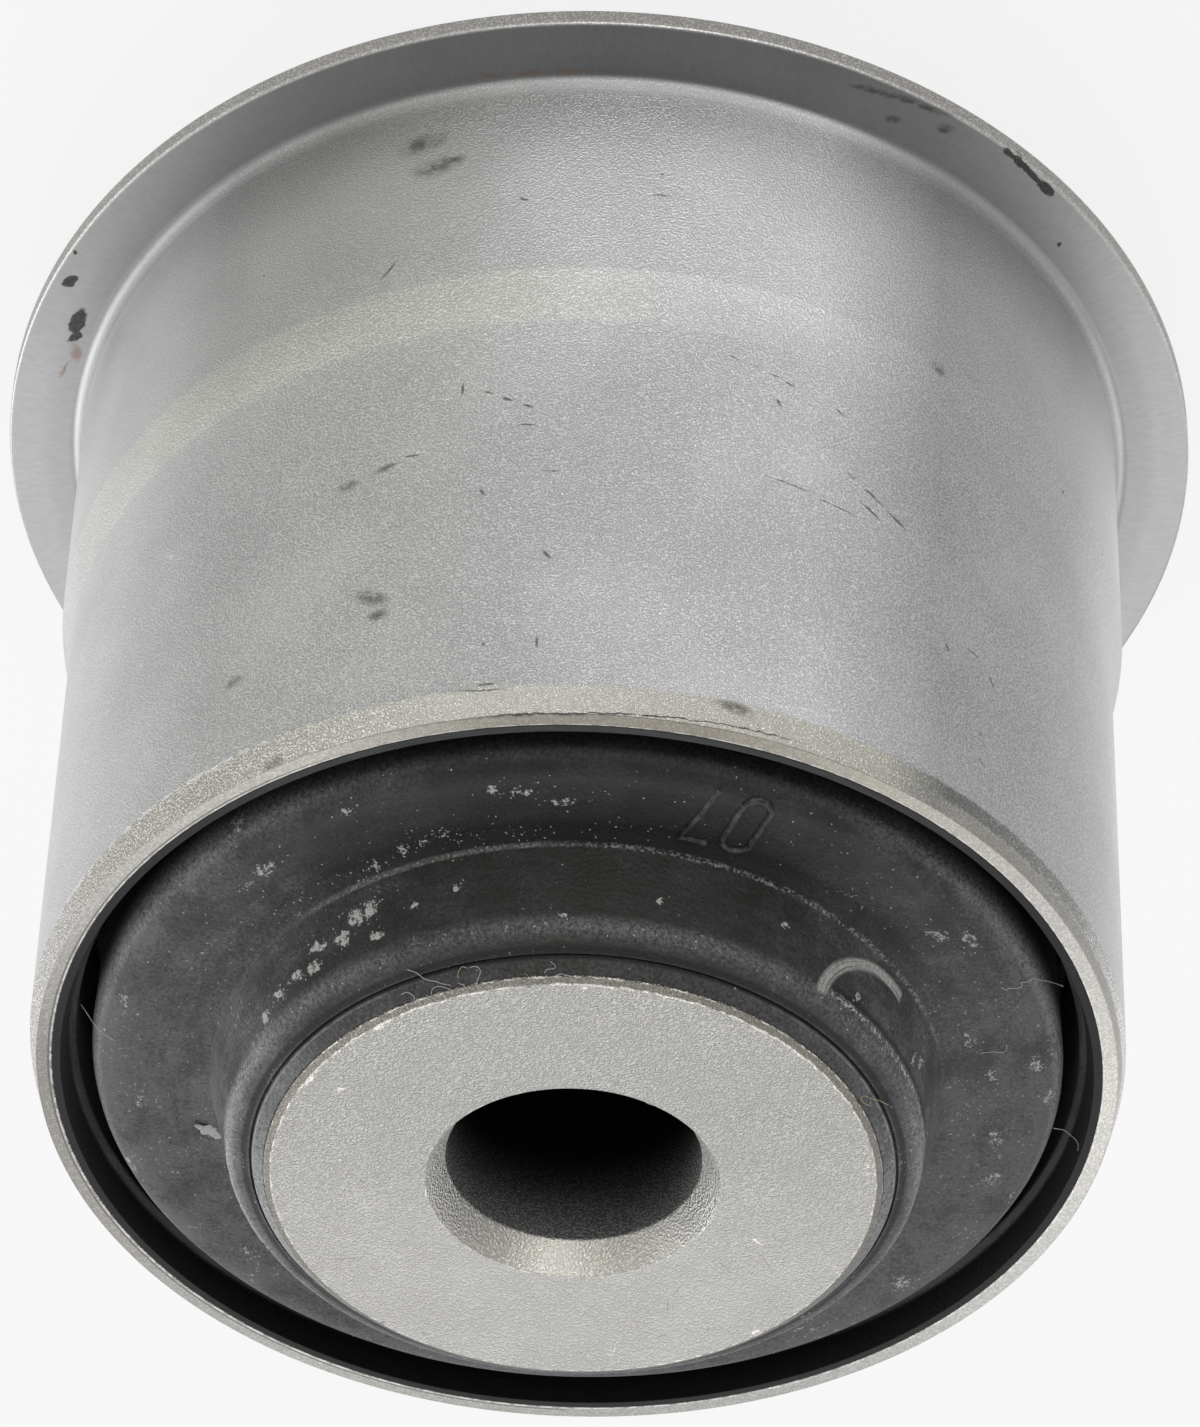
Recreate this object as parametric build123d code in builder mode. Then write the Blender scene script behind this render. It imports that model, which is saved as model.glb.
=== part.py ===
from build123d import *
import os

# Flanged rubber-to-metal bush. A thick inner sleeve takes the bolt, a drawn outer sleeve is
# pressed into its housing, and one rubber moulding is bonded between the two.
# Millimetres. +Z runs along the common axis, from the flanged end to the narrow end.
# The origin is the centre of the inner sleeve's end face on the flange's side.

# Inner sleeve: a thick tube for an M16 bolt
bolt_bore_diameter = 16.2
inner_sleeve_diameter = 39.0
inner_sleeve_length = 73.4
countersink_width = 1.2
countersink_depth = 2.06
end_chamfer_width = 0.45
end_chamfer_height = 0.27

# Outer sleeve: a drawn steel tube, stepped outside and flanged at its lower end
outer_sleeve_length = 57.2
press_diameter = 70.0
step_rise = 0.8  # the upper fit's radius over the press fit's
step_start = 33.9  # from the narrow end's rim down to the top of the conical step
step_height = 4.1
step_top_radius = 0.6
step_foot_radius = 1.5
sleeve_wall = 1.55
lead_chamfer_width = 0.55
lead_chamfer_height = 1.95
flange_width = 5.1
flange_thickness = 1.35
flange_root_radius = 1.0
flange_rim_radius = 0.2

# Rubber's moulded ends: lining and ledge on the sleeve's bore, then the groove
lining_thickness = 0.55  # at the mouth
lining_flare = 0.4  # it has grown this much thicker where it meets the ledge
ledge_depth = 2.5  # from the lining's end down to the ledge's edge
ledge_width = 0.45
ledge_slope = 0.3
groove_width = 1.0  # below the ledge
groove_depth = 13.0
groove_taper = 0.3  # the block's flank leans in by this much towards the floor
groove_floor_radius = 0.5

# Rubber's moulded ends: shoulder, annular face, cone, lip and collar
crest_rise = 0.55  # the block stands this far past the outer sleeve's end
shoulder_radius = 2.2
dish_depth = 0.4  # the annular face falls by this much from the shoulder to its foot
dish_foot_width = 1.2
dish_foot_radius = 3.0
cone_foot_thickness = 3.83  # rubber on the inner sleeve, at the cone's foot
cone_foot_rise = 0.38  # the cone's foot stands this far past the outer sleeve's end
lip_thickness = 2.35
lip_drop = 1.85  # from the inner sleeve's end down to the lip's outer corner
lip_radius = 0.9
crease_thickness = 0.87
crease_drop = 1.17
collar_drop = 0.3  # from the inner sleeve's end down to where the rubber starts

inner_radius = inner_sleeve_diameter / 2
press_radius = press_diameter / 2
step_radius = press_radius + step_rise
flange_radius = step_radius + flange_width

# The outer sleeve is centred on the inner sleeve's length
mid_length = inner_sleeve_length / 2
sleeve_rim = mid_length + outer_sleeve_length / 2
flange_face = mid_length - outer_sleeve_length / 2
flange_seat = flange_face + flange_thickness
step_top = sleeve_rim - step_start
step_foot = step_top - step_height
flange_bend_radius = flange_root_radius + sleeve_wall


def moulded_end(sleeve_bore, lining_end):
    """Corners of one rubber end, as (radius, height above mid-length, corner radius).

    They run from the outer sleeve's bore in to the inner sleeve, and lining_end is the
    height at which the lining on that bore stops.
    """
    sleeve_end = outer_sleeve_length / 2
    lining = sleeve_bore - lining_thickness
    ledge_root = lining - lining_flare
    ledge = ledge_root - ledge_width
    flank = ledge - groove_width
    ledge_edge = lining_end - ledge_depth
    groove_floor = sleeve_end - groove_depth
    cone_foot = inner_radius + cone_foot_thickness
    dish_foot = sleeve_end + crest_rise - dish_depth
    return [
        (sleeve_bore, lining_end, 0),
        (lining, lining_end, 0),
        (ledge_root, ledge_edge + ledge_slope, 0),
        (ledge, ledge_edge, 0),
        (ledge, groove_floor, groove_floor_radius),
        (flank - groove_taper, groove_floor, groove_floor_radius),
        (flank, sleeve_end + crest_rise, shoulder_radius),
        (cone_foot + dish_foot_width, dish_foot, dish_foot_radius),
        (cone_foot, sleeve_end + cone_foot_rise, 0),
        (inner_radius + lip_thickness, mid_length - lip_drop, lip_radius),
        (inner_radius + crease_thickness, mid_length - crease_drop, 0),
        (inner_radius, mid_length - collar_drop, 0),
    ]


with BuildPart() as inner_sleeve:
    with BuildSketch():
        Circle(inner_radius)
    extrude(amount=inner_sleeve_length)
    Hole(bolt_bore_diameter / 2)
    for end in (0, -1):
        end_face = inner_sleeve.faces().sort_by(Axis.Z)[end]
        rim_edge = end_face.edges().sort_by(SortBy.RADIUS)[-1]
        chamfer(rim_edge, end_chamfer_width, end_chamfer_height, reference=end_face)
        end_face = inner_sleeve.faces().sort_by(Axis.Z)[end]
        bore_edge = end_face.edges().sort_by(SortBy.RADIUS)[0]
        chamfer(bore_edge, countersink_width, countersink_depth, reference=end_face)

with BuildPart() as outer_sleeve:
    with BuildSketch(Plane.XZ):
        with BuildLine():
            Polyline(
                (press_radius - sleeve_wall, sleeve_rim),
                (press_radius - lead_chamfer_width, sleeve_rim),
                (press_radius, sleeve_rim - lead_chamfer_height),
                (press_radius, step_top),
                (step_radius, step_foot),
                (step_radius, flange_seat),
                (flange_radius, flange_seat),
                (flange_radius, flange_face),
                (step_radius - sleeve_wall, flange_face),
                (step_radius - sleeve_wall, step_foot),
                (press_radius - sleeve_wall, step_top),
                close=True,
            )
        make_face()
    revolve(axis=Axis.Z)
    top_edges = outer_sleeve.edges().filter_by_position(Axis.Z, step_top, step_top)
    fillet(top_edges.sort_by(SortBy.RADIUS)[-1], step_top_radius)
    foot_edges = outer_sleeve.edges().filter_by_position(Axis.Z, step_foot, step_foot)
    fillet(foot_edges.sort_by(SortBy.RADIUS)[-1], step_foot_radius)
    seat_edges = outer_sleeve.edges().filter_by_position(Axis.Z, flange_seat, flange_seat)
    fillet(seat_edges.sort_by(SortBy.RADIUS)[0], flange_root_radius)
    face_edges = outer_sleeve.edges().filter_by_position(Axis.Z, flange_face, flange_face)
    fillet(face_edges.sort_by(SortBy.RADIUS)[0], flange_bend_radius)
    rim_edges = outer_sleeve.edges().filter_by(GeomType.CIRCLE).group_by(SortBy.RADIUS)[-1]
    fillet(rim_edges, flange_rim_radius)

with BuildPart() as rubber_element:
    narrow_end = moulded_end(press_radius - sleeve_wall, outer_sleeve_length / 2)
    flange_end = moulded_end(
        step_radius - sleeve_wall, outer_sleeve_length / 2 - flange_bend_radius
    )
    corners = [(radius, mid_length + height, blend) for radius, height, blend in narrow_end]
    corners += [
        (radius, mid_length - height, blend) for radius, height, blend in reversed(flange_end)
    ]
    corners += [
        (step_radius - sleeve_wall, step_foot, 0),
        (press_radius - sleeve_wall, step_top, 0),
    ]
    with BuildSketch(Plane.XZ):
        with BuildLine():
            FilletPolyline(
                [(radius, height) for radius, height, blend in corners],
                radius=[blend for radius, height, blend in corners],
                close=True,
            )
        make_face()
    revolve(axis=Axis.Z)

os.makedirs("parts", exist_ok=True)

inner_sleeve.part.label = "inner_sleeve"
export_step(inner_sleeve.part, "parts/inner_sleeve.step")
outer_sleeve.part.label = "outer_sleeve"
export_step(outer_sleeve.part, "parts/outer_sleeve.step")
rubber_element.part.label = "rubber_element"
export_step(rubber_element.part, "parts/rubber_element.step")
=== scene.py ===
import math
import random
from functools import partial, reduce
import bpy
from mathutils import Matrix, Vector
from mathutils.bvhtree import BVHTree


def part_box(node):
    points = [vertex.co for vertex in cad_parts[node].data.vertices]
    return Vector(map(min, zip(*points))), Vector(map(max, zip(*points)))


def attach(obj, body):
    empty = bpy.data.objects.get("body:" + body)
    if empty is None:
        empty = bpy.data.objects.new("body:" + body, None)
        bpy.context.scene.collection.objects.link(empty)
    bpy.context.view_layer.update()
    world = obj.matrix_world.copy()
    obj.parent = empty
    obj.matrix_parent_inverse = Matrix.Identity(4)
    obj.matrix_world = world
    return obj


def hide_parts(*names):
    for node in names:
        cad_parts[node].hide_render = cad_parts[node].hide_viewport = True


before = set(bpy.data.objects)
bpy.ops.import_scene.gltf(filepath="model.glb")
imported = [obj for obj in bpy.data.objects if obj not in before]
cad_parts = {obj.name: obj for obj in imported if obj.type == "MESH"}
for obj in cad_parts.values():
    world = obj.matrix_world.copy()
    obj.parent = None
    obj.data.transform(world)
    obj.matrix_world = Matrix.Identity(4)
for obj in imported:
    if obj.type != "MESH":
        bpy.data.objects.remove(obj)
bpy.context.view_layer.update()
mm = 0.001

# The model gives each piece's box, in millimetres like all sizes below but the lamps' and floor's
innerLow, innerHigh = (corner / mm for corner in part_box("inner_sleeve"))
outerLow, outerHigh = (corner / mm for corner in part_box("outer_sleeve"))
rubberLow, rubberHigh = (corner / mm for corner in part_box("rubber_element"))
sleeveEnd = innerHigh.z
innerRadius = innerHigh.x
flangeRadius = outerHigh.x
flangeFace = outerLow.z
sleeveRim = outerHigh.z
midLength = sleeveEnd / 2


# Nodes: one call adds a node, and links or sets each input

def connect(node, inputs):
    for name, value in inputs.items():
        if isinstance(value, bpy.types.NodeSocket):
            node.id_data.links.new(value, node.inputs[name])
        else:
            node.inputs[name].default_value = value
    return node


def addNode(tree, kind, inputs=None, **settings):
    node = tree.nodes.new(kind)
    for name, value in settings.items():
        setattr(node, name, value)
    return connect(node, inputs or {})


def treeOf(*values):
    # the tree of the values that come from nodes, so that the sums below needn't name it
    return next(value.id_data for value in values if isinstance(value, bpy.types.NodeSocket))


def calc(operation, *values):
    return addNode(treeOf(*values), "ShaderNodeMath", dict(enumerate(values)),
                   operation=operation).outputs[0]


def product(*values):
    return reduce(partial(calc, "MULTIPLY"), values)


def total(*values):
    return reduce(partial(calc, "ADD"), values)


def most(*values):
    return reduce(partial(calc, "MAXIMUM"), values)


def minus(first, second):
    return calc("SUBTRACT", first, second)


def rest(value):
    return minus(1.0, value)


def hypotenuse(x, y):
    return calc("SQRT", total(product(x, x), product(y, y)))


def ramp(value, low, high, first=0.0, last=1.0):
    return addNode(treeOf(value), "ShaderNodeMapRange", {
        "Value": value, "From Min": low, "From Max": high, "To Min": first, "To Max": last},
        interpolation_type="SMOOTHSTEP").outputs["Result"]


def near(value, centre, inside, outside):
    # 1 within inside of the centre, and 0 past outside
    return ramp(calc("ABSOLUTE", minus(value, centre)), outside, inside)


def mix(factor, first, second):
    return addNode(treeOf(factor, first, second), "ShaderNodeMix", {
        0: factor, 2: first, 3: second}).outputs[0]


def blend(factor, first, second, mode="MIX"):
    return addNode(treeOf(factor, first, second), "ShaderNodeMix", {
        0: factor, 6: first, 7: second}, data_type="RGBA", blend_type=mode).outputs[2]


def tinted(first, second):
    return blend(1.0, first, second, "MULTIPLY")


def shaded(colour, shade):
    # the colour multiplied by a number
    tone = addNode(treeOf(colour, shade), "ShaderNodeCombineXYZ", {0: shade, 1: shade, 2: shade})
    return tinted(colour, tone.outputs[0])


def grey(tone, warmth=0.0):
    return (tone * (1 + warmth), tone, tone * (1 - warmth), 1.0)


def joined(x, y, z=0.0):
    return addNode(treeOf(x, y, z), "ShaderNodeCombineXYZ", {0: x, 1: y, 2: z}).outputs[0]


def channels(colour):
    return addNode(treeOf(colour), "ShaderNodeSeparateColor", {0: colour}).outputs


def vectorMath(operation, first, second):
    slot = "Scale" if operation == "SCALE" else 1
    node = addNode(treeOf(first, second), "ShaderNodeVectorMath", {0: first, slot: second},
                   operation=operation)
    return node.outputs["Value" if operation == "DISTANCE" else "Vector"]


def noise(place, size, seed=0, detail=2.0, roughness=0.5, output="Fac"):
    # each seed moves the pattern somewhere else
    moved = vectorMath("ADD", place, (seed * 31.7, seed * 17.3, seed * 23.9))
    return addNode(treeOf(place), "ShaderNodeTexNoise", {
        "Vector": moved, "Scale": 1 / size, "Detail": detail, "Roughness": roughness
    }).outputs[output]


def pushed(place, push, amount):
    # the place moved about by a noise colour, so that what is drawn with it gets ragged edges
    centred = vectorMath("SUBTRACT", push, (0.5, 0.5, 0.5))
    return vectorMath("ADD", place, vectorMath("SCALE", centred, amount * 2))


def bump(height, depth):
    # height of 0 to 1 stands for depth in millimetres
    return addNode(treeOf(height), "ShaderNodeBump", {
        "Height": height, "Distance": depth * mm}).outputs["Normal"]


# Shared effects: groups that put out places, masks and heights

def newGroup(kind, name, inputs, outputs):
    tree = bpy.data.node_groups.new(name, kind + "NodeTree")
    for direction, sockets in (("INPUT", inputs), ("OUTPUT", outputs)):
        for label, socketKind, *value in sockets:
            socket = tree.interface.new_socket(
                label, in_out=direction, socket_type="NodeSocket" + socketKind)
            if value:
                socket.default_value = value[0]
    return tree, addNode(tree, "NodeGroupInput").outputs


def useGroup(tree, group, inputs=None):
    return addNode(tree, "ShaderNodeGroup", inputs, node_tree=group).outputs


def makeTurnedCoordinates():
    # the place in millimetres, and its turn in degrees, radius and height about the axis;
    # turn 0 is the front and grows towards -X
    tree = newGroup("Shader", "turnedCoordinates", [], [
        ("Position", "Vector"), ("Turn", "Float"), ("Radius", "Float"), ("Height", "Float")])[0]
    place = vectorMath("SCALE", addNode(tree, "ShaderNodeTexCoord").outputs["Object"], 1 / mm)
    x, y, z = addNode(tree, "ShaderNodeSeparateXYZ", {0: place}).outputs
    turn = calc("DEGREES", calc("ARCTAN2", product(x, -1.0), product(y, -1.0)))
    addNode(tree, "NodeGroupOutput", {
        "Position": place, "Turn": turn, "Radius": hypotenuse(x, y), "Height": z})
    return tree


def makeRingMask():
    # fades out over Width from a circle of Ring Radius at Ring Height
    tree, given = newGroup("Shader", "ringMask", [
        ("Radius", "Float", 0), ("Height", "Float", 0), ("Ring Radius", "Float", 10),
        ("Ring Height", "Float", 0), ("Width", "Float", 0.2)], [("Mask", "Float")])
    apart = hypotenuse(minus(given["Radius"], given["Ring Radius"]),
                       minus(given["Height"], given["Ring Height"]))
    addNode(tree, "NodeGroupOutput", {"Mask": ramp(apart, given["Width"], 0.0)})
    return tree


def makePebbledGrain():
    # closely set pebbles of Size millimetres, with painted glints on the crowns of a few of them
    tree, given = newGroup("Shader", "pebbledGrain", [
        ("Position", "Vector", (0, 0, 0)), ("Size", "Float", 0.25)],
        [("Tone", "Float"), ("Glint", "Float")])
    scale = calc("DIVIDE", 1.0, given["Size"])
    fine = addNode(tree, "ShaderNodeTexNoise", {
        "Vector": given["Position"], "Scale": scale, "Detail": 1.0, "Roughness": 0.45})
    cells = addNode(tree, "ShaderNodeTexVoronoi", {
        "Vector": given["Position"], "Scale": product(scale, 0.8)})
    crown = ramp(cells.outputs["Distance"], 0.75, 0.1)
    pick = channels(cells.outputs["Color"])[0]
    height = total(product(fine.outputs["Fac"], 0.7), product(crown, 0.3))
    glint = product(ramp(pick, 0.86, 0.95), ramp(crown, 0.55, 0.95))
    addNode(tree, "NodeGroupOutput", {"Tone": ramp(height, 0.27, 0.78), "Glint": glint})
    return tree


def makePowder():
    # torn flakes up to Size millimetres; Amount 0 leaves none and 1 nearly covers the surface
    tree, given = newGroup("Shader", "powder", [
        ("Position", "Vector", (0, 0, 0)), ("Size", "Float", 0.5), ("Amount", "Float", 0.2)],
        [("Mask", "Float")])
    flakes = addNode(tree, "ShaderNodeTexNoise", {
        "Vector": given["Position"], "Scale": calc("DIVIDE", 1.0, given["Size"]),
        "Detail": 4.0, "Roughness": 0.8}).outputs["Fac"]
    needed = calc("MULTIPLY_ADD", given["Amount"], -0.36, 0.80)
    addNode(tree, "NodeGroupOutput", {"Mask": ramp(minus(flakes, needed), -0.01, 0.035)})
    return tree


turnedCoordinates = makeTurnedCoordinates()
ringMask = makeRingMask()
pebbledGrain = makePebbledGrain()
powder = makePowder()


def newMaterial(name):
    # a material, its shader, and the place, turn, radius and height that it is drawn by
    material = bpy.data.materials.new(name)
    material.use_nodes = True
    tree = material.node_tree
    return material, tree.nodes["Principled BSDF"], useGroup(tree, turnedCoordinates)


def onRing(radius, height, ringRadius, ringHeight, width):
    return useGroup(treeOf(radius), ringMask, {
        "Radius": radius, "Height": height, "Ring Radius": ringRadius,
        "Ring Height": ringHeight, "Width": width})["Mask"]


def grainOf(place, size):
    return useGroup(treeOf(place), pebbledGrain, {"Position": place, "Size": size})


def belowEnd(height):
    # how far a height lies below the nearer end of the inner sleeve
    return minus(midLength, calc("ABSOLUTE", minus(height, midLength)))


def onFace(turn, radius):
    # a place on a flat ring face, and its two directions: round and outwards
    angle = math.radians(turn)
    outward = Vector((-math.sin(angle), -math.cos(angle), 0))
    return outward * radius, Vector((outward.y, -outward.x, 0)), outward


def unrolled(turn, across, radius):
    # a wall or a ring face laid flat: round it in millimetres at that radius, then across it
    return joined(product(turn, math.radians(1) * radius), across)


def marked(place, marks, radius, soft=0.8):
    # marks on an unrolled surface are listed under their half length, half width and lean, each
    # as turn and height or radius; marks of one size share a scaled place and cost two nodes
    nearest = 4.0
    for (length, width, lean), places in marks.items():
        spin = Matrix.Rotation(math.radians(-lean), 3, "Z")
        leaning = place if lean == 0 else addNode(treeOf(place), "ShaderNodeVectorRotate", {
            "Vector": place, "Angle": math.radians(-lean)}, rotation_type="Z_AXIS").outputs[0]
        scaled = vectorMath("MULTIPLY", leaning, (1 / length, 1 / width, 0))
        for turn, across in places:
            centre = spin @ Vector((math.radians(turn) * radius, across, 0))
            away = vectorMath("DISTANCE", scaled, (centre.x / length, centre.y / width, 0))
            nearest = calc("MINIMUM", away, nearest)
    return ramp(nearest, 1.0, 1.0 - soft)


def byTurn(turn, colours):
    # colours at some degrees of turn, blended in between
    node = addNode(treeOf(turn), "ShaderNodeValToRGB", {
        0: calc("MULTIPLY_ADD", turn, 1 / 360, 0.5)})
    stops = node.color_ramp.elements
    stops.remove(stops[1])
    for i, (degrees, colour) in enumerate(sorted(colours.items())):
        stop = stops.new(degrees / 360 + 0.5) if i else stops[0]
        stop.position = degrees / 360 + 0.5
        stop.color = colour if isinstance(colour, tuple) else grey(colour)
    return node.outputs["Color"]


# Turned pieces: an outline of rounded corners, swept round the axis

def roundedOutline(corners, arcStep, support=0.07, longest=2.5):
    # corners are (radius, height, blend); each blend becomes an arc of arcStep degrees a step,
    # with a close row of points on either side of it to keep flat faces flat when shaded
    shortShare = 0.2  # of a run shorter than its supports need
    points = []
    count = len(corners)
    for i, (radius, height, blendRadius) in enumerate(corners):
        before = Vector(corners[i - 1][:2])
        here = Vector((radius, height))
        after = Vector(corners[(i + 1) % count][:2])
        goIn = (here - before).normalized()
        goOut = (after - here).normalized()
        turn = goIn.angle(goOut)
        reach = blendRadius * math.tan(turn / 2)
        side = 1 if goIn.cross(goOut) > 0 else -1
        steps = max(2, math.ceil(math.degrees(turn) / arcStep))
        centre = here - goIn * reach + Vector((-goIn.y, goIn.x)) * side * blendRadius
        spoke = here - goIn * reach - centre
        row = [here - goIn * (reach + min(support, (here - before).length * shortShare))]
        row += [centre + Matrix.Rotation(turn * k / steps * side, 2) @ spoke
                for k in range(steps + 1)]
        row.append(here + goOut * (reach + min(support, (after - here).length * shortShare)))
        if points:
            points += between(points[-1], row[0], longest)
        points += row
    return points + between(points[-1], points[0], longest)


def between(start, end, longest):
    # the points that divide a long run evenly
    pieces = max(1, math.ceil((end - start).length / longest))
    return [start.lerp(end, k / pieces) for k in range(1, pieces)]


def geometryGroup(name, inputs):
    # each tree takes a shape and a material, beside its own inputs
    geometry = [("Geometry", "Geometry")]
    return newGroup("Geometry", name, geometry + inputs + [("Material", "Material")], geometry)


def closeTree(tree, geometry, given):
    # every tree ends in real geometry with its material on it
    real = addNode(tree, "GeometryNodeRealizeInstances", {"Geometry": geometry}).outputs[0]
    dressed = addNode(tree, "GeometryNodeSetMaterial", {
        "Geometry": real, "Material": given["Material"]})
    addNode(tree, "NodeGroupOutput", {"Geometry": dressed.outputs[0]})
    return tree


def makeTurningTree():
    # sweeps the outline round the axis and lets its surface wander a little along its normals
    tree, given = geometryGroup("turnedPiece", [
        ("Segments", "Int", 360), ("Path Radius", "Float", 0.03),
        ("Wander", "Float", 0.0), ("Wander Scale", "Float", 100.0), ("Seed", "Float", 0.0)])
    path = addNode(tree, "GeometryNodeCurvePrimitiveCircle", {
        "Resolution": given["Segments"], "Radius": given["Path Radius"]})
    outline = addNode(tree, "GeometryNodeMeshToCurve", {"Mesh": given["Geometry"]})
    swept = addNode(tree, "GeometryNodeCurveToMesh", {
        "Curve": path.outputs["Curve"], "Profile Curve": outline.outputs["Curve"]})
    wave = addNode(tree, "ShaderNodeTexNoise", {
        "Vector": addNode(tree, "GeometryNodeInputPosition").outputs[0],
        "Scale": given["Wander Scale"], "W": given["Seed"], "Detail": 3.0},
        noise_dimensions="4D")
    amount = product(minus(wave.outputs["Fac"], 0.5), given["Wander"])
    shift = vectorMath("SCALE", addNode(tree, "GeometryNodeInputNormal").outputs[0], amount)
    moved = addNode(tree, "GeometryNodeSetPosition", {
        "Geometry": swept.outputs["Mesh"], "Offset": shift})
    smooth = addNode(tree, "GeometryNodeSetShadeSmooth", {"Geometry": moved.outputs[0]})
    return closeTree(tree, smooth.outputs[0], given)


def newObject(name, data):
    piece = bpy.data.objects.new(name, data)
    bpy.context.scene.collection.objects.link(piece)
    return piece


def newLines(name, points, edges):
    # an object of points in metres and the lines between them, for a tree to work on
    mesh = bpy.data.meshes.new(name)
    mesh.from_pydata(points, edges, [])
    return newObject(name, mesh)


def meshFrom(source, name):
    # the object as its modifiers leave it, kept as a plain mesh
    bpy.context.view_layer.update()
    ready = source.evaluated_get(bpy.context.evaluated_depsgraph_get())
    mesh = bpy.data.meshes.new_from_object(ready)
    mesh.name = name
    bpy.data.objects.remove(source)
    return mesh


def finishedMesh(source, tree, values, name):
    # runs a geometry tree on the source object and keeps the result as a plain mesh
    modifier = source.modifiers.new("build", "NODES")
    modifier.node_group = tree
    for item in tree.interface.items_tree:
        if item.in_out == "INPUT" and item.name in values:
            modifier[item.identifier] = values[item.name]
    return newObject(name, meshFrom(source, name))


turningTree = makeTurningTree()


def turnedPiece(name, corners, look, material, low, high):
    pathRadius = 30.0  # the sweep's own circle, which the outline is set against
    outline = roundedOutline(corners, look["arcStep"])
    rows = [((point.x - pathRadius) * mm, -point.y * mm, 0) for point in outline]
    loop = [(i, (i + 1) % len(rows)) for i in range(len(rows))]
    piece = finishedMesh(newLines(name + "Outline", rows, loop), turningTree, {
        "Segments": look["segments"], "Path Radius": pathRadius * mm,
        "Wander": look["wander"] * mm, "Wander Scale": 1 / (look["wanderSize"] * mm),
        "Seed": look["seed"], "Material": material}, name)
    for vertex in piece.data.vertices:  # the wander stays inside the model's box
        for axis in range(3):
            vertex.co[axis] = min(max(vertex.co[axis], low[axis] * mm), high[axis] * mm)
    print(name, "has", len(piece.data.polygons), "faces")
    return piece


# Outer sleeve: drawn steel under a pale grey blasted coat

outerSleeve = {
    "press": 35.0, "stepRise": 0.8, "wall": 1.55,
    "stepStart": 33.9, "stepHeight": 4.1, "stepTopRadius": 0.6, "stepFootRadius": 1.5,
    "stepBoreRadius": 1.0, "leadWidth": 0.55, "leadHeight": 1.95, "leadBlend": 1.2,
    "flangeThickness": 1.35, "rootRadius": 1.0, "rimRadius": 0.2, "edge": 0.08,
    "segments": 720, "arcStep": 14, "wander": 0.03, "wanderSize": 6.0, "seed": 1.0,
    "coatDark": (0.60, 0.60, 0.61, 1.0), "coatLight": (1.10, 1.10, 1.09, 1.0),
    "rubbed": grey(0.80, 0.01), "bareSteel": (0.055, 0.052, 0.050, 1.0),
    "rim": (0.50, 0.485, 0.45, 1.0), "band": (1.1, 1.085, 0.97, 1.0),
    "stain": (0.10, 0.098, 0.085, 1.0), "rust": (0.20, 0.12, 0.08, 1.0),
    "grain": 0.135, "grainDepth": 0.13, "grainFullHeight": 44.0, "grainFullTurn": 12.0,
    "flangeMiddle": 38.5, "rollDepth": 0.95, "chamferShade": 1.55,
    "metallic": 0.8, "roughness": 0.44, "sheen": 0.12,
}

# stretches of turn: the middle, how far it goes in full and how far it fades out
sleeveStretches = {
    "rolledEdge": (65.0, 20.0, 32.0), "paintedLightUpper": (6.0, 14.0, 40.0),
    "paintedShadeUpper": (-30.0, 12.0, 26.0), "lighterStep": (-35.0, 20.0, 55.0),
    "rubbedPress": (-52.0, 12.0, 26.0), "crack": (5.0, 12.0, 19.0),
}

# the coat's colour by turn, with painted light and shade: lighter at the front and at the sides,
# darker near 45 degrees, and cooler to the right of the front
coatLitByTurn = {
    -180: 0.59, -120: 0.60, -80: 0.70, -60: 0.575, -42: (0.47, 0.47, 0.46, 1.0),
    -20: (0.58, 0.58, 0.56, 1.0), 0: 0.75, 22: (0.78, 0.775, 0.79, 1.0),
    38: (0.445, 0.44, 0.45, 1.0), 50: 0.45, 62: 0.505, 80: 0.77, 120: 0.64, 180: 0.59,
}
# the flange face's grey by turn, with painted shade and reflection: darkest at the front, beside
# the wall
flangeLitByTurn = {-180: 0.33, -80: 0.325, -60: 0.275, -40: 0.285, -20: 0.225, 0: 0.148, 20: 0.16,
                38: 0.32, 60: 0.34, 80: 0.33, 180: 0.33}
# the lead chamfer's colour by turn, with painted light and shade: brightest at the front and near
# 80 degrees, darkest near 39
chamferLitByTurn = {
    -180: (0.50, 0.49, 0.47, 1.0), -80: (0.56, 0.55, 0.53, 1.0), -60: (0.47, 0.45, 0.42, 1.0),
    -42: (0.49, 0.47, 0.425, 1.0), -28: (0.66, 0.645, 0.585, 1.0), -14: (0.84, 0.825, 0.745, 1.0),
    0: (0.89, 0.855, 0.78, 1.0), 22: (0.77, 0.755, 0.68, 1.0), 31: (0.66, 0.645, 0.58, 1.0),
    39: (0.20, 0.197, 0.19, 1.0), 60: (0.345, 0.34, 0.33, 1.0), 80: (0.92, 0.91, 0.89, 1.0),
    120: (0.54, 0.53, 0.51, 1.0), 180: (0.50, 0.49, 0.47, 1.0),
}
# the cut end face's colour by turn, browner at the front, with painted light and shade: brightest
# near 90 degrees, darkest at the front
endLitByTurn = {
    -180: (0.32, 0.315, 0.30, 1.0), -150: (0.355, 0.35, 0.33, 1.0),
    -120: (0.28, 0.27, 0.255, 1.0), -90: (0.22, 0.21, 0.195, 1.0), -60: (0.35, 0.34, 0.32, 1.0),
    -30: (0.36, 0.35, 0.32, 1.0), -8: (0.205, 0.193, 0.165, 1.0), 12: (0.20, 0.187, 0.157, 1.0),
    30: (0.315, 0.30, 0.265, 1.0), 60: (0.39, 0.38, 0.36, 1.0), 90: (0.53, 0.515, 0.48, 1.0),
    120: (0.43, 0.425, 0.405, 1.0), 150: (0.34, 0.335, 0.32, 1.0),
    180: (0.32, 0.315, 0.30, 1.0),
}

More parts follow.
